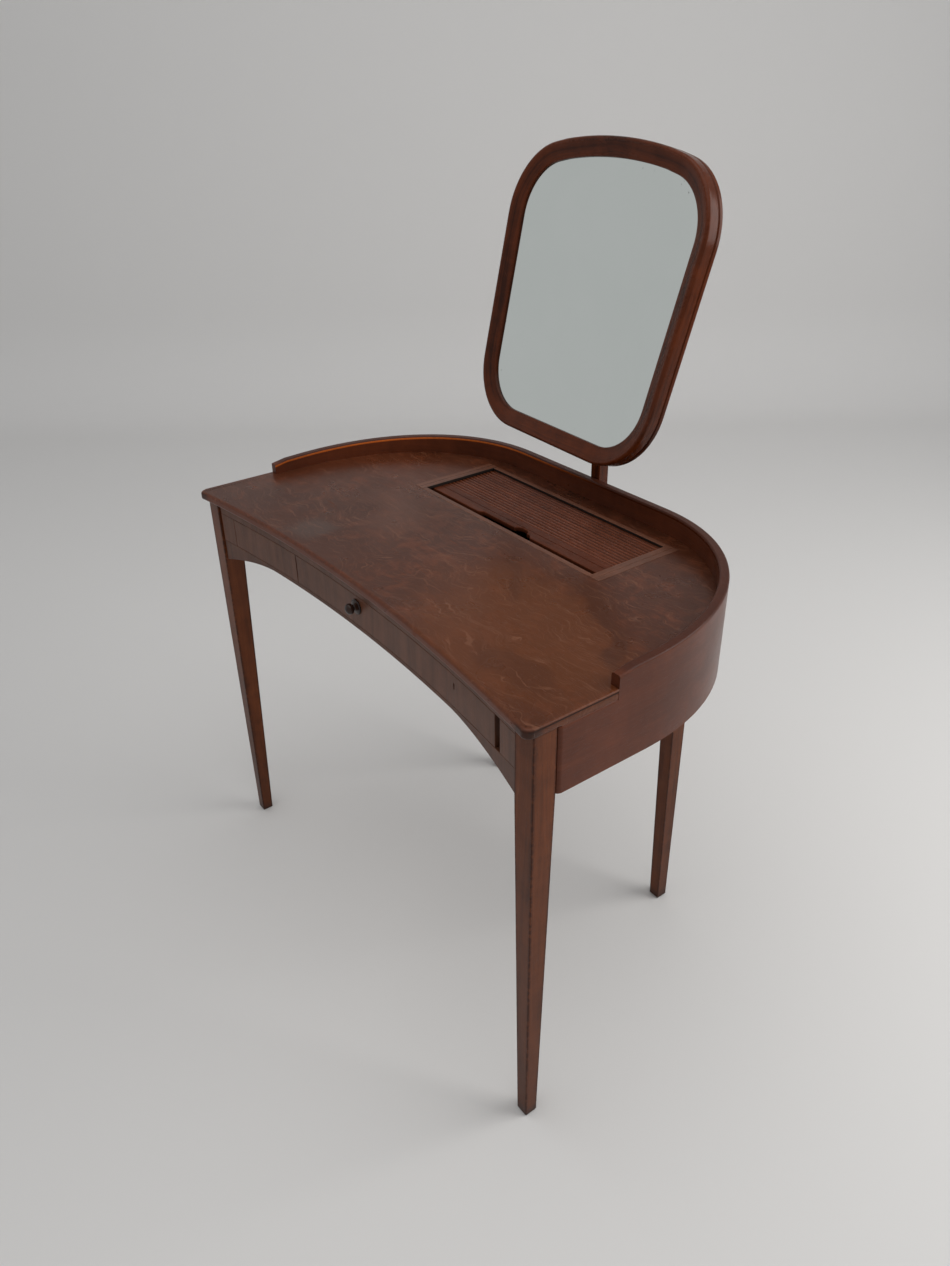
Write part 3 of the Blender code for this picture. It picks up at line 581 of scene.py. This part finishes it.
def grain_along(path, matched=False):
    """Grain that follows a path in the first two coordinates; matched mirrors it about the path's start."""
    dist = [0.0]
    for a, b in zip(path, path[1:]):
        dist.append(dist[-1] + math.hypot(b[0] - a[0], b[1] - a[1]))

    def find(p):
        best = (9.0, 0.0, 0.0)
        for i, (a, b) in enumerate(zip(path, path[1:])):
            ux, uy = b[0] - a[0], b[1] - a[1]
            size = dist[i + 1] - dist[i]
            f = max(0.0, min(1.0, ((p.x - a[0]) * ux + (p.y - a[1]) * uy) / (size * size)))
            dx, dy = p.x - a[0] - f * ux, p.y - a[1] - f * uy
            away = dx * dx + dy * dy
            if away < best[0]:
                best = (away, dist[i] + f * size, (dx * uy - dy * ux) / size)
        s = min(best[1], dist[-1] - best[1]) if matched else best[1]
        return (s, best[2], p.z)
    return find


def smooth(mesh):
    for face in mesh.polygons:
        face.use_smooth = True
    mesh.set_sharp_from_angle(angle=math.radians(38))


def cut(obj, bm):
    """Takes the shape in bm, given in table coordinates, out of obj."""
    bmesh.ops.translate(bm, verts=bm.verts, vec=(0, Y0, 0))
    mesh = bpy.data.meshes.new("cutter")
    bm.to_mesh(mesh)
    bm.free()
    tool = bpy.data.objects.new("cutter", mesh)
    bpy.context.collection.objects.link(tool)
    mod = obj.modifiers.new("cut", "BOOLEAN")
    mod.operation, mod.solver, mod.object = "DIFFERENCE", "EXACT", tool
    bpy.context.view_layer.update()
    done = bpy.data.meshes.new_from_object(obj.evaluated_get(bpy.context.evaluated_depsgraph_get()))
    obj.modifiers.clear()
    obj.data = done
    bpy.data.objects.remove(tool, do_unlink=True)


def piece(node, bm, mat, grain=grain_x, body="table", place=None, cuts=(), second=None):
    """Turns bm into the shown piece for a model node.

    place goes from local to table coordinates, cuts are shapes to take out, and second is a
    material for the faces that its test, on a face's middle and normal, picks.
    """
    if place is not None:
        bmesh.ops.transform(bm, matrix=place, verts=bm.verts)
    bmesh.ops.translate(bm, verts=bm.verts, vec=(0, Y0, 0))
    mesh = bpy.data.meshes.new(node + "_look")
    bm.to_mesh(mesh)
    bm.free()
    obj = bpy.data.objects.new(node + "_look", mesh)
    bpy.context.collection.objects.link(obj)
    for shape in cuts:
        cut(obj, shape)
    mesh = obj.data
    back = (place.inverted() if place is not None else Matrix()) @ Matrix.Translation((0, -Y0, 0))
    shift = Vector((0.377, 0.113, 0.229)) * (len(bpy.data.meshes) % 23)
    field = mesh.attributes.new("grain", "FLOAT_VECTOR", "POINT")
    field.data.foreach_set("vector", [c for v in mesh.vertices for c in Vector(grain(back @ v.co)) + shift])
    mesh.materials.clear()
    mesh.materials.append(MAT[mat])
    if second:
        mesh.materials.append(MAT[second[0]])
        for face in mesh.polygons:
            face.material_index = 1 if second[1](back @ face.center, face.normal) else 0
    smooth(mesh)
    mod = obj.modifiers.new("normals", "WEIGHTED_NORMAL")
    mod.keep_sharp = True
    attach(obj, body)
    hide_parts(node)
    return obj


# ---- plan curves ----
def front_y(x):
    return SAG * (1 - (x / SKIN_X) ** 2)


def apron_y(x):
    return APRON_SET + front_y(x)


def skin_path(steps=40):
    """Outer face of the side and back band, from the right front end round to the left."""
    right = [(SKIN_X - 0.0030, 0.0502), (SKIN_X - 0.0014, 0.0520)]
    right += [(SKIN_X, y) for y in (0.0555, 0.09, GAL_FRONT_Y - 0.0004, GAL_FRONT_Y, 0.165)]
    for k in range(steps + 1):
        t = math.pi / 2 * k / steps
        right.append((SKIN_X - SKIN_A + SKIN_A * math.cos(t) ** (2 / SKIN_N),
                      SKIN_STRAIGHT + SKIN_B * math.sin(t) ** (2 / SKIN_N)))
    right += [(0.12, SKIN_BACK), (0.08, SKIN_BACK), (0.04, SKIN_BACK)]
    return right + [(-x, y) for x, y in reversed(right)]


def normals(path):
    out = []
    for i in range(len(path)):
        a, b = path[max(i - 1, 0)], path[min(i + 1, len(path) - 1)]
        size = math.hypot(b[0] - a[0], b[1] - a[1])
        out.append(((b[1] - a[1]) / size, (a[0] - b[0]) / size))
    return out


def gallery_z(y):
    return GAL_FRONT_Z + (y - GAL_FRONT_Y) / (SKIN_BACK - GAL_FRONT_Y) * (GAL_BACK_Z - GAL_FRONT_Z)


# ---- carcase ----
def make_surround():
    """One bent band: apron at the sides and back, standing above the top as the gallery."""
    path = skin_path()
    rings, worn = [], []
    r, lead_in = 0.0030, 0.012
    turn = (0, 0.4, 0.8, 1.2, math.pi / 2)
    for (x, y), (nx, ny) in zip(path, normals(path)):
        if y < GAL_FRONT_Y:
            nx, ny = math.copysign(1, x), 0.0
        top = gallery_z(y) if y > GAL_FRONT_Y - 0.0001 else UNDER_Z - GAP
        # the front ends of the gallery are rounded over by use
        if top > TOP_Z:
            top -= 0.0035 * max(0.0, 1 - (y - GAL_FRONT_Y) / lead_in) ** 2
        low, mid = BAND_Z, 0.64
        prof = [(0.0006, low, 1), (0, low + 0.0006, 1), (0, low + 0.004, 0), (0, mid, 0)]
        prof.append((0, top - r - 0.002, 0))
        prof += [(r - r * math.cos(a), top - r + r * math.sin(a), 1) for a in turn]
        prof += [(SKIN_T - r + r * math.sin(a), top - r + r * math.cos(a), 1) for a in turn]
        prof += [(SKIN_T, top - r - 0.002, 0), (SKIN_T, mid, 0), (SKIN_T, low, 0)]
        rings.append([(x - nx * d, y - ny * d, z) for d, z, w in prof])
        worn += [w for d, z, w in prof]
    bm = loft(rings)
    mark_wear(bm, lambda i: worn[i])

    # the inner faces above the top take band_in, the band's wood with painted light and painted shade
    def inside(p, n):
        return abs(n.z) < 0.5 and n.x * p.x + n.y * (p.y - SKIN_STRAIGHT) < -0.05 and p.z > UNDER_Z

    piece("surround", bm, "band", grain_along(path), second=("band_in", inside))


def top_outline():
    """Points of the top with a weight telling how much each takes part in the edge rounding."""
    half, pts = TOP_HALF, []
    corner = (half - CORNER_R, front_y(half - CORNER_R) + CORNER_R - 0.0006)
    turns = [-math.pi / 2 + math.pi / 2 * k / 12 for k in range(1, 13)]
    round_off = [(corner[0] + CORNER_R * math.cos(t), corner[1] + CORNER_R * math.sin(t)) for t in turns]
    for k in range(-60, 61):
        x = (half - CORNER_R - 0.002) * k / 60
        pts.append((x, front_y(x), 1.0))
    end = GAL_FRONT_Y - 0.0008
    right = round_off + [(half, y) for y in (0.0495, 0.0525, 0.08, end)]
    pts += [(x, y, 1.0) for x, y in right]
    path, d = skin_path(), SKIN_T + GAP
    inside = [(x - nx * d, y - ny * d) for (x, y), (nx, ny) in zip(path, normals(path))]
    pts.append((SKIN_X - d, end, 0.0))
    pts += [(x, y, 0.0) for x, y in inside if y > GAL_FRONT_Y - 0.0002]
    pts.append((d - SKIN_X, end, 0.0))
    return pts + [(-x, y, 1.0) for x, y in reversed(right)]


def top_ring(pts, inset, z):
    """One ring of the top's edge.

    Along the sides it has a groove, stands flush with the band below that, and is square underneath.
    """
    ring = []
    for i, (x, y, w) in enumerate(pts):
        if w == 0.0:
            ring.append((x, y, z))
            continue
        a, b = pts[i - 1], pts[(i + 1) % len(pts)]
        if a[2] == 0.0:
            a = (x, y + 0.01, 1)
        if b[2] == 0.0:
            b = (x, y + 0.01, 1)
        size = math.hypot(b[0] - a[0], b[1] - a[1])
        d, rise = inset, z
        if abs(x) > TOP_HALF - 0.0001:
            if z > GROOVE_Z0:
                d = SIDE_ROUND * inset if z > GROOVE_Z1 else GROOVE_D
                rise = TOP_Z - SIDE_ROUND * (TOP_Z - z)
            else:
                d = FLUSH if y > 0.051 else max(inset, FLUSH)
        ring.append((x - (b[1] - a[1]) / size * d, y + (b[0] - a[0]) / size * d, rise))
    return ring


def top_body():
    """The top without its opening."""
    pts, r = top_outline(), EDGE_R
    turn = (0.3, 0.6, 0.9, 1.2)
    steps = [(r, UNDER_Z, 0.0)]
    steps += [(r - r * math.sin(a), UNDER_Z + r - r * math.cos(a), 0.3) for a in (*turn, math.pi / 2)]
    steps += [(0.0, TOP_Z - d, 0.2) for d in (0.0061, 0.0058, 0.0047, 0.0044)]
    steps += [(r - r * math.cos(a), TOP_Z - r + r * math.sin(a), 1.0) for a in (0.0, *turn)]
    steps += [(r, TOP_Z, 0.6), (r + 0.0014, TOP_Z, 0.3), (r + 0.0035, TOP_Z, 0.0)]
    bm = loft([top_ring(pts, d, z) for d, z, w in steps])
    mark_wear(bm, lambda i: steps[i // len(pts)][2] if pts[i % len(pts)][2] else 0.0)
    return bm


def wall_opening(bm):
    """Walls from the upper rim of the opening down to the highest points below it."""
    rim = [e for e in bm.edges if e.is_boundary]
    low = {v for e in rim for v in e.verts if v.co.z < TOP_Z - 0.001}
    for e in rim:
        if e.verts[0] in low or e.verts[1] in low:
            continue
        ends = [sorted((u for u in low if (u.co.xy - v.co.xy).length < 1e-5), key=lambda u: -u.co.z)
                for v in e.verts]
        if len(ends[0]) == len(ends[1]):
            ends = [ends[0][:1], ends[1][:1]]
        bm.faces.new([e.verts[0], e.verts[1]] + ends[1] + ends[0][::-1])
    bmesh.ops.recalc_face_normals(bm, faces=bm.faces)


def make_top():
    """The top, with the tambour's opening and room under the back edge for the slats."""
    bm = top_body()
    out, y0, y1 = HOLE_X + TRACK_W + GAP, HOLE_Y0 - LIP - GAP, HOLE_Y1 + LIP + GAP
    back = HOLE_Y1 + POCKET_D
    planes = [((x, 0, 0), (1, 0, 0)) for x in (-out, -POCKET_X, POCKET_X, out)]
    planes += [((0, y, 0), (0, 1, 0)) for y in (y0, y1, back)]
    for co, no in planes:
        geom = bm.verts[:] + bm.edges[:] + bm.faces[:]
        bmesh.ops.bisect_plane(bm, geom=geom, dist=1e-6, plane_co=co, plane_no=no)
    hole, pocket = [], []
    for f in bm.faces:
        c = f.calc_center_median()
        if abs(f.normal.z) > 0.9 and abs(c.x) < out and y0 < c.y < y1:
            hole.append(f)
        elif f.normal.z < -0.9 and abs(c.x) < POCKET_X and y1 < c.y < back:
            pocket.append(f)
    raised = bmesh.ops.extrude_face_region(bm, geom=pocket)["geom"]
    bmesh.ops.delete(bm, geom=pocket, context="FACES_ONLY")
    for v in raised:
        if isinstance(v, bmesh.types.BMVert):
            v.co.z = POCKET_Z

    def shuts_pocket(f):
        return all(abs(v.co.y - y1) < 1e-5 and abs(v.co.x) < POCKET_X + 1e-4 and v.co.z < POCKET_Z + 1e-4
                   for v in f.verts)

    bmesh.ops.delete(bm, geom=hole + [f for f in bm.faces if shuts_pocket(f)], context="FACES")
    wall_opening(bm)
    piece("tabletop", bm, "top")


def make_lipping():
    """Strips round the tambour opening; the side ones carry its grooves and a fine inlaid line."""
    z0, z1, x, middle = UNDER_Z + GAP, TOP_Z + GAP, HOLE_X - GAP, (HOLE_Y0 + HOLE_Y1) / 2

    # the faces towards the slats take the well's near-black wood: painted shade
    def faces_slats(p, n):
        return n.y * (middle - p.y) > 0.02 and abs(n.z) < 0.5

    for node, a, b, low in (("lipping_front", HOLE_Y0 - LIP, HOLE_Y0, z0),
                            ("lipping_back", HOLE_Y1, HOLE_Y1 + LIP, POCKET_Z)):
        bm = soften(box(-x, x, a, b, low, z1), 0.0005, 0.0012)
        piece(node, bm, "lipping", second=("well", faces_slats))
    foot_z, foot_x, out = 0.6800, 0.2185, HOLE_X + TRACK_W
    groove_x, groove_z0, groove_z1, d = 0.2120, 0.6876, 0.6956, 0.0005
    for side, name in ((-1, "left"), (1, "right")):
        pts = [(HOLE_X, foot_z), (foot_x, foot_z), (foot_x, z0), (out, z0), (out, z1)]
        pts += [(INLAY_X + 0.0004, z1), (INLAY_X + 0.0002, z1 - d)]
        pts += [(INLAY_X - 0.0002, z1 - d), (INLAY_X - 0.0004, z1)]
        pts += [(HOLE_X + 0.0006, z1), (HOLE_X + 0.0001, z1 - d)]
        pts += [(HOLE_X, groove_z1), (groove_x, groove_z1), (groove_x, groove_z0), (HOLE_X, groove_z0)]
        bm = loft([[(side * px, y, z) for px, z in pts] for y in (HOLE_Y0 - LIP, HOLE_Y1 + LIP)])
        mark_wear(bm)
        # the faces towards the slats take the well's near-black wood: painted shade
        piece("tambour_track_" + name, bm, "lipping", grain_y,
              second=("well", lambda p, n: n.x * p.x < -0.1))


def arc_slab(x0, x1, low, high, thick, steps=64):
    """Upright slab that follows the front curve; low is a height or a function of x, and high is a height."""
    rings = []
    for k in range(steps + 1):
        x = x0 + (x1 - x0) * k / steps
        a = low(x) if callable(low) else low
        y = apron_y(x)
        rings.append([(x, y, a), (x, y + thick, a), (x, y + thick, high), (x, y, high)])
    return loft(rings)


def apron_low(x):
    f = max(0.0, abs(x) - APRON_FLAT) / (RAIL_END - APRON_FLAT)
    return APRON_LOW - (APRON_LOW - BRACKET_LOW) * (f ** 1.6)


def make_front():
    """Rails above and below the drawer, and the stiles at its ends."""
    low, high = OPEN_BOT + GAP, OPEN_TOP - GAP
    for node, bm in (
            ("front_rail_top", arc_slab(RAIL_LEFT, RAIL_END, OPEN_TOP, UNDER_Z - GAP, RAIL_T)),
            ("front_rail_bottom", arc_slab(RAIL_LEFT, RAIL_END, apron_low, OPEN_BOT, RAIL_T, 96)),
            ("front_stile_left", arc_slab(RAIL_LEFT, OPEN_L, low, high, RAIL_T, 8)),
            ("front_stile_right", arc_slab(OPEN_R, RAIL_END, low, high, RAIL_T, 8))):
        piece(node, soften(bm, 0.0004, 0.0010, 2), "apron", grain_z)


def make_leg(node, foot, top, z_taper, tail):
    """Tapered square leg with a worn foot; tail holds any rings above the taper."""
    cx, cy = sum(p[0] for p in foot) / 4, sum(p[1] for p in foot) / 4
    worn, worn_z = 0.86, 0.0025
    rings = [[(cx + (x - cx) * worn, cy + (y - cy) * worn, 0.0) for x, y in foot]]
    rings.append([(x, y, worn_z) for x, y in foot])
    for k in range(1, 9):
        f = k / 8
        z = worn_z + (z_taper - worn_z) * f
        rings.append([(a[0] + (b[0] - a[0]) * f, a[1] + (b[1] - a[1]) * f, z) for a, b in zip(foot, top)])
    piece(node, soften(loft(rings + tail), 0.0019, 0.0030, 4, least=0.00004), "leg", grain_z)


def block(x0, x1, y0, y1):
    return [(x0, y0), (x1, y0), (x1, y1), (x0, y1)]


def make_legs():
    head = UNDER_Z - GAP
    for side, name in ((-1, "leg_front_left"), (1, "leg_front_right")):
        top = block(side * LEG_OUT, side * (LEG_OUT - LEG_W), LEG_FRONT, LEG_FRONT + LEG_D)
        foot = block(side * FOOT_OUT, side * (FOOT_OUT - FOOT), LEG_FRONT, LEG_FRONT + FOOT)
        make_leg(name, foot, top, TAPER_Z, [[(x, y, head) for x, y in top]])
    for side, name in ((-1, "leg_back_left"), (1, "leg_back_right")):
        xo, xi = side * BLEG_OUT, side * (BLEG_OUT - BLEG_W)
        back = BLEG_BACK + (BLEG_LEFT_BACK if side < 0 else 0)
        top = block(xo, xi, back, back - BLEG_W)
        foot = block(xo, side * (BLEG_OUT - FOOT), back, back - FOOT)
        inner = block(xo, xi, BLEG_HEAD_Y1, BLEG_HEAD_Y0)
        tail = [[(x, y, z) for x, y in inner] for z in (BAND_Z - 0.0004, head)]
        make_leg(name, foot, top, BAND_Z - 0.0008, tail)


# ---- drawer ----
def drawer_cuts():
    """The split in the veneer left of the knob and the keyhole right of it."""
    low, tall, lens = DR_Z0 - 0.0010, 0.0511, []
    for way, wide in ((1, 0.0012), (-1, 0.0004)):
        for k in range(13)[::way]:
            f = k / 12
            lens.append((SPLIT_X + way * (0.0006 + wide * math.sin(math.pi * f)), low + tall * f))
    turns = [math.pi * k / 10 for k in range(20)]
    key = [(KEY_X + 0.0016 * math.cos(a) * (1 if math.sin(a) > 0 else 0.7), KEY_Z + 0.0054 * math.sin(a))
           for a in turns]
    cuts = []
    for outline, at, deep in ((lens, SPLIT_X, 0.005), (key, KEY_X, 0.007)):
        y = apron_y(at)
        cuts.append(loft([[(x, yy, z) for x, z in outline] for yy in (y - 0.01, y + deep)]))
    return cuts


def make_knob():
    """A turned knob: a flat rosette, a short neck and a ball."""
    prof = [(0.0112, 0.0), (0.0117, 0.0002), (0.0121, 0.0008), (0.0119, 0.0018), (0.0113, 0.0024),
            (0.0104, 0.0028), (0.0086, 0.0031), (0.0070, 0.0036), (0.0054, 0.0043), (0.0046, 0.0050),
            (0.0042, 0.0058), (0.0042, 0.0064)]
    start, squash = 1.02, 0.78
    for k in range(25):
        t = -start + (math.pi / 2 + 1.01) * k / 24
        prof.append((KNOB_R * math.cos(t), 0.0066 + KNOB_R * squash * (math.sin(start) + math.sin(t))))
    bm = loft([ring_of(r, h) for r, h in prof])
    mark_wear(bm)
    turn = Matrix.Translation((0, apron_y(0) - 0.0001, KNOB_Z)) @ Matrix.Rotation(math.pi / 2, 4, "X")
    piece("knob", bm, "knob", grain_z, "drawer", place=turn)


def ring_of(r, z, count=64):
    turns = [2 * math.pi * k / count for k in range(count)]
    return [(r * math.cos(t), r * math.sin(t), z) for t in turns]


def make_drawer():
    bm = soften(arc_slab(DR_L, DR_R, DR_Z0, DR_Z1, DR_T, 80), 0.0005, 0.0010, 2)
    piece("drawer_front", bm, "apron", grain_z, "drawer", cuts=drawer_cuts())
    make_knob()


# ---- tambour ----
def lead_edge(x):
    """Front edge of the lead slat: a long shallow finger notch with a deeper scoop in it."""
    d = (abs(x - NOTCH_X) - NOTCH_HALF) / NOTCH_EASE
    shallow = 1.0 if d < -1 else (0.0 if d > 0 else (math.sin(math.pi * (-d - 0.5)) + 1) / 2)
    e = abs(x - SCOOP_X) / SCOOP_R
    return LEAD_Y0 + NOTCH_D * shallow + SCOOP_D * (math.sqrt(1 - e * e) if e < 1 else 0.0)


def make_lead():
    """The slat with the finger notch, with closer points where its edge curves."""
    fine = [0.0005 * k for k in range(25)]
    xs = [-SLAT_X, -0.0835] + [NOTCH_X - NOTCH_HALF + d for d in fine] + [-0.060, -0.030, 0.0]
    xs += [SCOOP_X - SCOOP_R * math.cos(math.pi * k / 32) for k in range(33)]
    xs += [0.0410 + d for d in fine] + [SLAT_X]
    z, y1, line = SLAT_Z1, LEAD_Y1, 0.3442
    back = [(line - 0.0006, z), (line - 0.0003, z - 0.0012), (line + 0.0003, z - 0.0012), (line + 0.0006, z),
            (y1 - 0.0011, z), (y1 - 0.0003, z - 0.0004), (y1, z - 0.0012), (y1, SLAT_Z0)]
    rings = []
    for x in xs:
        a, e = lead_edge(x), 0.0012
        front = [(a + e * 0.5, SLAT_Z0), (a, SLAT_Z0 + e), (a, z - e * 1.4), (a + e * 0.3, z - e * 0.5),
                 (a + e, z - e * 0.1), (a + e * 2, z)]
        rings.append([(x, y, z_) for y, z_ in front + back])
    bm = loft(rings)
    mark_wear(bm, lambda i: {2: 0.5, 3: 1.0, 4: 0.7}.get(i % 14, 0.0))
    piece("tambour_lead", bm, "lead", body="tambour")


def make_slat(n):
    """Half-round slat, n places behind the lead."""
    y0, w, steps = LEAD_Y1 + GAP + n * PITCH, PITCH - GAP, 14
    prof = [(0, 0), (w, 0)]
    for k in range(steps + 1):
        t = math.pi * k / steps
        prof.append((w / 2 + w / 2 * math.cos(t), 0.0034 + 0.0038 * math.sin(t) ** 0.8))
    bm = loft([[(x, y0 + a, SLAT_Z0 + b) for a, b in prof] for x in (-SLAT_X, -0.07, 0.07, SLAT_X)])

    # the crests are marked worn, which paints them lighter: real wear and a painted highlight along each reed
    def crest(i):
        k = i % len(prof) - 2
        return max(0.0, 1 - abs(k - 7) / 3.5) * 0.35 if k >= 0 else 0.0

    mark_wear(bm, crest)
    piece("tambour_slat_%02d" % (n + 1), bm, "tambour", body="tambour")


def make_tambour():
    make_lead()
    for n in range(SLATS):
        make_slat(n)


# ---- mirror ----
def rounded(points, steps=18):
    """Closed outline from (x, y, radius) corners."""
    out = []
    for i, (x, y, r) in enumerate(points):
        if r == 0:
            out.append((x, y))
            continue
        p = Vector((x, y))
        a = (Vector(points[i - 1][:2]) - p).normalized()
        b = (Vector(points[(i + 1) % len(points)][:2]) - p).normalized()
        half = math.acos(max(-1, min(1, a.dot(b)))) / 2
        centre = p + (a + b).normalized() * (r / math.sin(half))
        start = p + a * (r / math.tan(half)) - centre
        turn = start.angle_signed(p + b * (r / math.tan(half)) - centre)
        for k in range(steps + 1):
            c, s = math.cos(-turn * k / steps), math.sin(-turn * k / steps)
            out.append((centre.x + start.x * c - start.y * s, centre.y + start.x * s + start.y * c))
    return out


def glass_outline():
    """Edge of the visible glass, in its own plane, from the middle of its lower edge round to the right."""
    top = []
    for k in range(21):
        x = GLASS_TOP_X - 0.0105 * k
        top.append((x, GLASS_TOP - x ** 2 / (2 * GLASS_TOP_R), 0))
    low = [(-0.06 + 0.03 * k, GLASS_LOW, 0) for k in range(5)]
    left, right = [(-GLASS_LOW_X, GLASS_LOW, GLASS_LOW_R)], [(GLASS_LOW_X, GLASS_LOW, GLASS_LOW_R)]
    right.append((GLASS_SIDE_X, GLASS_SIDE, GLASS_SIDE_R))
    pts = rounded(left + low + right + top + [(-GLASS_SIDE_X, GLASS_SIDE, GLASS_SIDE_R)])
    first = min(range(len(pts)), key=lambda i: (abs(pts[i][0]), pts[i][1]))
    return [(x + GLASS_SHIFT, y) for x, y in pts[first:] + pts[:first]]


def grow(outline, d):
    """The outline moved outwards by d."""
    out = []
    for i, (x, y) in enumerate(outline):
        a, b = outline[i - 1], outline[(i + 1) % len(outline)]
        size = math.hypot(b[0] - a[0], b[1] - a[1])
        out.append((x + (b[1] - a[1]) / size * d, y - (b[0] - a[0]) / size * d))
    return out


def mirror_matrix():
    """From (s, t, n) in the plane of the glass to table coordinates at the rest pose."""
    pivot_n = -(PIVOT_Y - GLASS_Y - PIVOT_T * math.sin(TILT)) / math.cos(TILT)
    pivot_z = GLASS_Z + PIVOT_T * math.cos(TILT) + pivot_n * math.sin(TILT)
    base = Matrix.Translation((0, PIVOT_Y, pivot_z)) @ Matrix.Rotation(SWIVEL, 4, "Z")
    return base @ Matrix.Rotation(math.pi / 2 - TILT, 4, "X") @ Matrix.Translation((0, -PIVOT_T, -pivot_n))


def frame_section():
    """Section of the frame as (distance out from the glass, height over it, wear)."""
    w, f, b = FRAME_W, FRAME_FRONT, FRAME_BACK
    # the wear along the ridge paints it lighter: real wear and a painted highlight line
    return [(0, 0.0003, 0), (0, 0.0022, 0), (0.0003, 0.0030, 0.6), (0.0012, 0.0038, 0.6), (0.0028, 0.0046, 0),
            (w * 0.27, 0.0061, 0), (w * 0.45, 0.0078, 0), (w * 0.62, 0.0096, 0), (w * 0.75, f - 0.0006, 0.2),
            (w * 0.82, f - 0.0001, 0.8), (w * 0.87, f - 0.0001, 1), (w * 0.92, f - 0.0007, 0.8),
            (w - 0.0010, f - 0.0019, 0.4), (w - 0.0003, f - 0.0034, 0), (w, f - 0.0056, 0),
            (w, -0.0052, 0), (w - 0.0004, -0.0060, 0.6), (w - 0.0016, -0.0066, 0), (w - 0.0016, -0.0090, 0),
            (w - 0.0004, -0.0096, 0.6), (w, -0.0104, 0), (w, b + 0.0014, 0), (w - 0.0014, b, 1),
            (w - 0.004, b, 0), (0.0095, b, 0), (0.0073, b, 1), (0.0065, b + 0.0008, 1), (0.0065, 0.0003, 0)]


def make_mirror():
    base, lay, prof = glass_outline(), mirror_matrix(), frame_section()
    lines = [grow(base, d) for d, n, worn in prof]
    rings = [[(*line[i], n) for line, (d, n, worn) in zip(lines, prof)] for i in range(len(base))]
    bm = loft(rings, closed=True)
    mark_wear(bm, lambda i: prof[i % len(prof)][2])
    middle = grow(base, FRAME_W / 2)
    grain = grain_along(middle + middle[:1], True)
    piece("mirror_frame", bm, "frame", grain, "mirror", place=lay)
    glass = grow(base, 0.006)
    layers = ((glass, -0.0040), (glass, 0.0), (grow(base, -0.003), 0.0), (grow(base, -0.020), 0.0))
    bm = loft([[(x, y, n) for x, y in line] for line, n in layers])
    mark_wear(bm, lambda i: (0, 1, 1, 0)[i // len(glass)])
    piece("mirror_glass", bm, "glass", grain_x, "mirror", place=lay)
    bm = soften(prism(glass, -0.0100, -0.0043), 0.0006, 0.002)
    piece("mirror_backboard", bm, "inner", grain_y, "mirror", place=lay)


def make_post():
    """Square post with counterbored holes for its two screws."""
    front, back = PIVOT_Y - POST_HALF, PIVOT_Y + POST_HALF
    bm = soften(box(-POST_HALF, POST_HALF, front, back, POST_Z0, POST_Z1), 0.0012, 0.0025)
    holes = []
    for z in SCREW_ZS:
        for r, a, b in ((0.0052, back - 0.004, back + 0.010), (0.0024, front - 0.010, back)):
            holes.append(loft([[(x, y, z + up) for x, up, _ in ring_of(r, 0.0, 48)] for y in (a, b)]))
    piece("mirror_post", bm, "frame", grain_z, cuts=holes)


# ---- nodes of the model that are shown as they are ----
def dress(mat, names, edge=0.0005):
    for name in names:
        obj = NODES[name]
        obj.data.materials.clear()
        obj.data.materials.append(MAT[mat])
        if edge:
            mod = obj.modifiers.new("edge", "BEVEL")
            mod.width, mod.segments, mod.limit_method, mod.angle_limit = edge, 2, "ANGLE", 0.6


make_surround()
make_top()
make_lipping()
make_front()
make_legs()
make_drawer()
make_tambour()
make_mirror()
make_post()
dress("inner_x", ("rear_bearer", "drawer_back", "drawer_bottom"))
dress("inner_y", ("runner_left", "runner_right", "drawer_side_left", "drawer_side_right",
                                    "well_side_left", "well_side_right"))
dress("inner_z", ("corner_block_left", "corner_block_right"))
# the well's parts take the near-black wood that paints the shade inside it
dress("well", ("well_front", "well_back", "well_bottom"))
dress("brass", ("hinge_bracket", "swivel_head", "swivel_socket"), 0.0003)
dress("steel", ("pivot_pin", "post_screw_low", "post_screw_high"), 0.0003)
dress("cloth", ("tambour_cloth",), 0.0)
